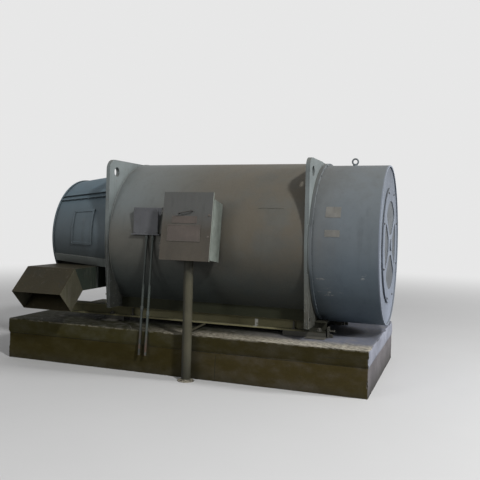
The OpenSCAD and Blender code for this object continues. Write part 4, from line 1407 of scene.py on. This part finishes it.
class MOTOR_OT_terminal_fittings(bpy.types.Operator):
    """Adds the screws of the terminal box and the collars of the conduits"""

    bl_idname = "motor.terminal_fittings"
    bl_label = "Terminal fittings"

    def execute(self, context):
        start, end = low("terminal_cover"), high("terminal_cover")
        inset = 0.018
        bm = bmesh.new()
        for x in (start.x + inset, (start.x + end.x) / 2, end.x - inset):
            for z in (start.z + inset, end.z - inset):
                add_bolt(bm, towards_front(x, start.y, z), sizes().screw, x * 20)
        make_piece("terminal_screws", bm, "terminal_paint")
        self.collars()
        return {"FINISHED"}

    def collars(self):
        """Glands under the plate and couplings lower down."""
        start, end = low("conduits"), high("conduits")
        radius = 0.013
        pitch = (end.x - start.x) - 2 * radius
        foot = Vector((start.x + radius, start.y + radius, start.z))
        head = Vector((start.x + radius, end.y - radius, end.z))
        lean = (head - foot).normalized()
        turn = Vector((0, 0, 1)).rotation_difference(lean).to_matrix().to_4x4()
        bm = bmesh.new()
        for k, coupling_z in ((0, 0.672), (1, 0.622)):
            across = Vector((pitch * k, 0, 0))
            for z, size, length in ((coupling_z, 0.018, 0.05), (head.z - 0.034, 0.020, 0.020)):
                share = (z - foot.z) / (head.z - foot.z)
                at = foot.lerp(head, share) + across
                add_disc(bm, Matrix.Translation(at) @ turn, size, length, 24, 0.002)
            at = foot.lerp(head, (head.z - 0.052 - foot.z) / (head.z - foot.z)) + across
            add_disc(bm, Matrix.Translation(at) @ turn, 0.0175, 0.020, 6, 0.002)
        make_piece("conduit_collars", bm, "conduit_paint", smooth=True)


class MOTOR_OT_foot_gear(bpy.types.Operator):
    """Adds shims, hold-down nuts and jack screws at the four feet"""

    bl_idname = "motor.foot_gear"
    bl_label = "Foot gear"

    def execute(self, context):
        rail = low("base_rail_front"), high("base_rail_front")
        sole_x = {-1: low("sole_plates").x, 1: high("sole_plates").x}
        flange_z = rail[0].z + 0.016
        outer_y = rail[0].y
        bm = bmesh.new()
        for end, x in sole_x.items():
            self.shim(bm, x, end, outer_y)
            add_stud(bm, place_at(x - end * 0.353, outer_y + 0.027, flange_z), 0.009, 0.088, 0.018)
            add_disc(bm, place_at(x - end * 0.074, outer_y + 0.027, flange_z), 0.034, 0.006, 24, 0.001)
            add_disc(bm, place_at(x - end * 0.074, outer_y + 0.027, flange_z + 0.006), 0.026, 0.017, 6, 0.002)
            add_disc(bm, place_at(x - end * 0.074, outer_y + 0.027, flange_z + 0.023), 0.019, 0.011, 20, 0.005, 0.012)
        self.jack(bm, sole_x[1], 1, rail)
        mirror_to_rear(bm)
        make_piece("foot_gear", bm, "rail_steel")
        return {"FINISHED"}

    def shim(self, bm, x, end, outer_y):
        """Thin plate on the foundation, beside a sole plate."""
        near, far = sorted((x - end * 0.20, x + end * 0.011))
        add_box(bm, (near, outer_y - 0.104, SLAB_TOP - 0.001), (far, outer_y + 0.004, SLAB_TOP + 0.008), 0.001)

    def jack(self, bm, x, end, rail):
        """Upright lug past the rail's end, with a screw that bears on the rail."""
        y = (rail[0].y + rail[1].y) / 2
        lug_near, lug_far = sorted((x + end * 0.012, x + end * 0.027))
        screw_z = SLAB_TOP + 0.068
        add_box(bm, (lug_near, y - 0.045, SLAB_TOP - 0.001), (lug_far, y + 0.045, SLAB_TOP + 0.112), 0.002)
        add_box(bm, (lug_far - 0.001, y - 0.006, SLAB_TOP - 0.001), (lug_far + 0.04, y + 0.006, SLAB_TOP + 0.035), 0.002)
        add_disc(bm, along_x(x, y, screw_z, end), 0.009, 0.078, 16, 0.001)
        add_disc(bm, along_x(x + end * 0.027, y, screw_z, end), 0.015, 0.012, 6, 0.0015)
        add_disc(bm, along_x(x + end * 0.074, y, screw_z, end), 0.015, 0.014, 6, 0.0015)


class MOTOR_OT_duct_edges(bpy.types.Operator):
    """Adds the rivets on both sides of the duct's bend"""

    bl_idname = "motor.duct_edges"
    bl_label = "Duct edges"

    def execute(self, context):
        start, end = low("duct_spout"), high("duct_spout")
        bm = bmesh.new()
        bend_y = low("duct_neck").y
        top_z = high("duct_neck").z
        for x in even_cuts(start.x, end.x, 0.09):
            add_disc(bm, place_at(x, bend_y + 0.028, top_z - 0.001), 0.006, 0.003, 10, 0.001)
        slope = Matrix.Rotation(math.radians(45), 4, "X")
        for x in even_cuts(start.x, end.x, 0.09):
            at = Vector((x, bend_y - 0.022, top_z - 0.022))
            add_disc(bm, Matrix.Translation(at) @ slope @ place_at(0, 0, -0.001), 0.006, 0.003, 10, 0.001)
        make_piece("duct_rivets", bm, "duct_sheet")
        self.flange(end.x)
        return {"FINISHED"}

    def flange(self, side_x):
        """Narrow strip up the level part's side, near the drive end's cover."""
        neck_top, neck_low = high("duct_neck").z, low("duct_neck").z
        bm = bmesh.new()
        add_box(bm, (side_x - 0.001, -0.742, neck_low + 0.004), (side_x + 0.006, -0.716, neck_top - 0.004), 0.001)
        make_piece("duct_flange", bm, "lip_paint")


class MOTOR_OT_post_grout(bpy.types.Operator):
    """Adds the lump of dirt and mortar round the foot of the post"""

    bl_idname = "motor.post_grout"
    bl_label = "Post grout"

    def execute(self, context):
        start, end = low("post_foot"), high("post_foot")
        middle = (start + end) / 2
        bm = bmesh.new()
        bmesh.ops.create_cone(bm, cap_ends=True, segments=48, radius1=0.088, radius2=0.056, depth=0.022,
                              matrix=place_at(middle.x, middle.y, 0.011))
        rim = [e for e in bm.edges if abs(e.verts[0].co.z - e.verts[1].co.z) > 0.01]
        bmesh.ops.subdivide_edges(bm, edges=rim, cuts=4)
        for vertex in bm.verts:
            if vertex.co.z > 0.001:
                away = Vector((vertex.co.x - middle.x, vertex.co.y - middle.y, 0))
                bump = noise.fractal(vertex.co * 22, 0.8, 2.0, 4)
                vertex.co += away.normalized() * bump * 0.016
        make_piece("post_grout", bm, "foundation_concrete", smooth=True)
        return {"FINISHED"}


class MOTOR_PT_panel(bpy.types.Panel):
    """Lists the operators"""

    bl_idname = "MOTOR_PT_panel"
    bl_label = "Mill motor"
    bl_space_type = "VIEW_3D"
    bl_region_type = "UI"
    bl_category = "Mill motor"

    def draw(self, context):
        for operator in OPERATORS:
            self.layout.operator(operator.bl_idname)


OPERATORS = (
    MOTOR_OT_stage,
    MOTOR_OT_finishes,
    MOTOR_OT_foundation,
    MOTOR_OT_flange_bolts,
    MOTOR_OT_cover_bolts,
    MOTOR_OT_drive_end_bolts,
    MOTOR_OT_casing_marks,
    MOTOR_OT_door_fittings,
    MOTOR_OT_terminal_fittings,
    MOTOR_OT_foot_gear,
    MOTOR_OT_duct_edges,
    MOTOR_OT_post_grout,
)
CLASSES = (MotorColours, DetailSizes, StageSettings, *OPERATORS, MOTOR_PT_panel)


def register():
    """Registers the classes and hangs the settings on the scene."""
    for cls in CLASSES:
        bpy.utils.register_class(cls)
    bpy.types.Scene.motor_colours = bpy.props.PointerProperty(type=MotorColours)
    bpy.types.Scene.motor_sizes = bpy.props.PointerProperty(type=DetailSizes)
    bpy.types.Scene.motor_stage = bpy.props.PointerProperty(type=StageSettings)


def unregister():
    """Takes the settings and the classes away again."""
    del bpy.types.Scene.motor_stage
    del bpy.types.Scene.motor_sizes
    del bpy.types.Scene.motor_colours
    for cls in reversed(CLASSES):
        bpy.utils.unregister_class(cls)


def main():
    """Dresses the frame."""
    register()
    for operator in OPERATORS:
        group, name = operator.bl_idname.split(".")
        getattr(getattr(bpy.ops, group), name)()


if __name__ == "__main__":
    main()
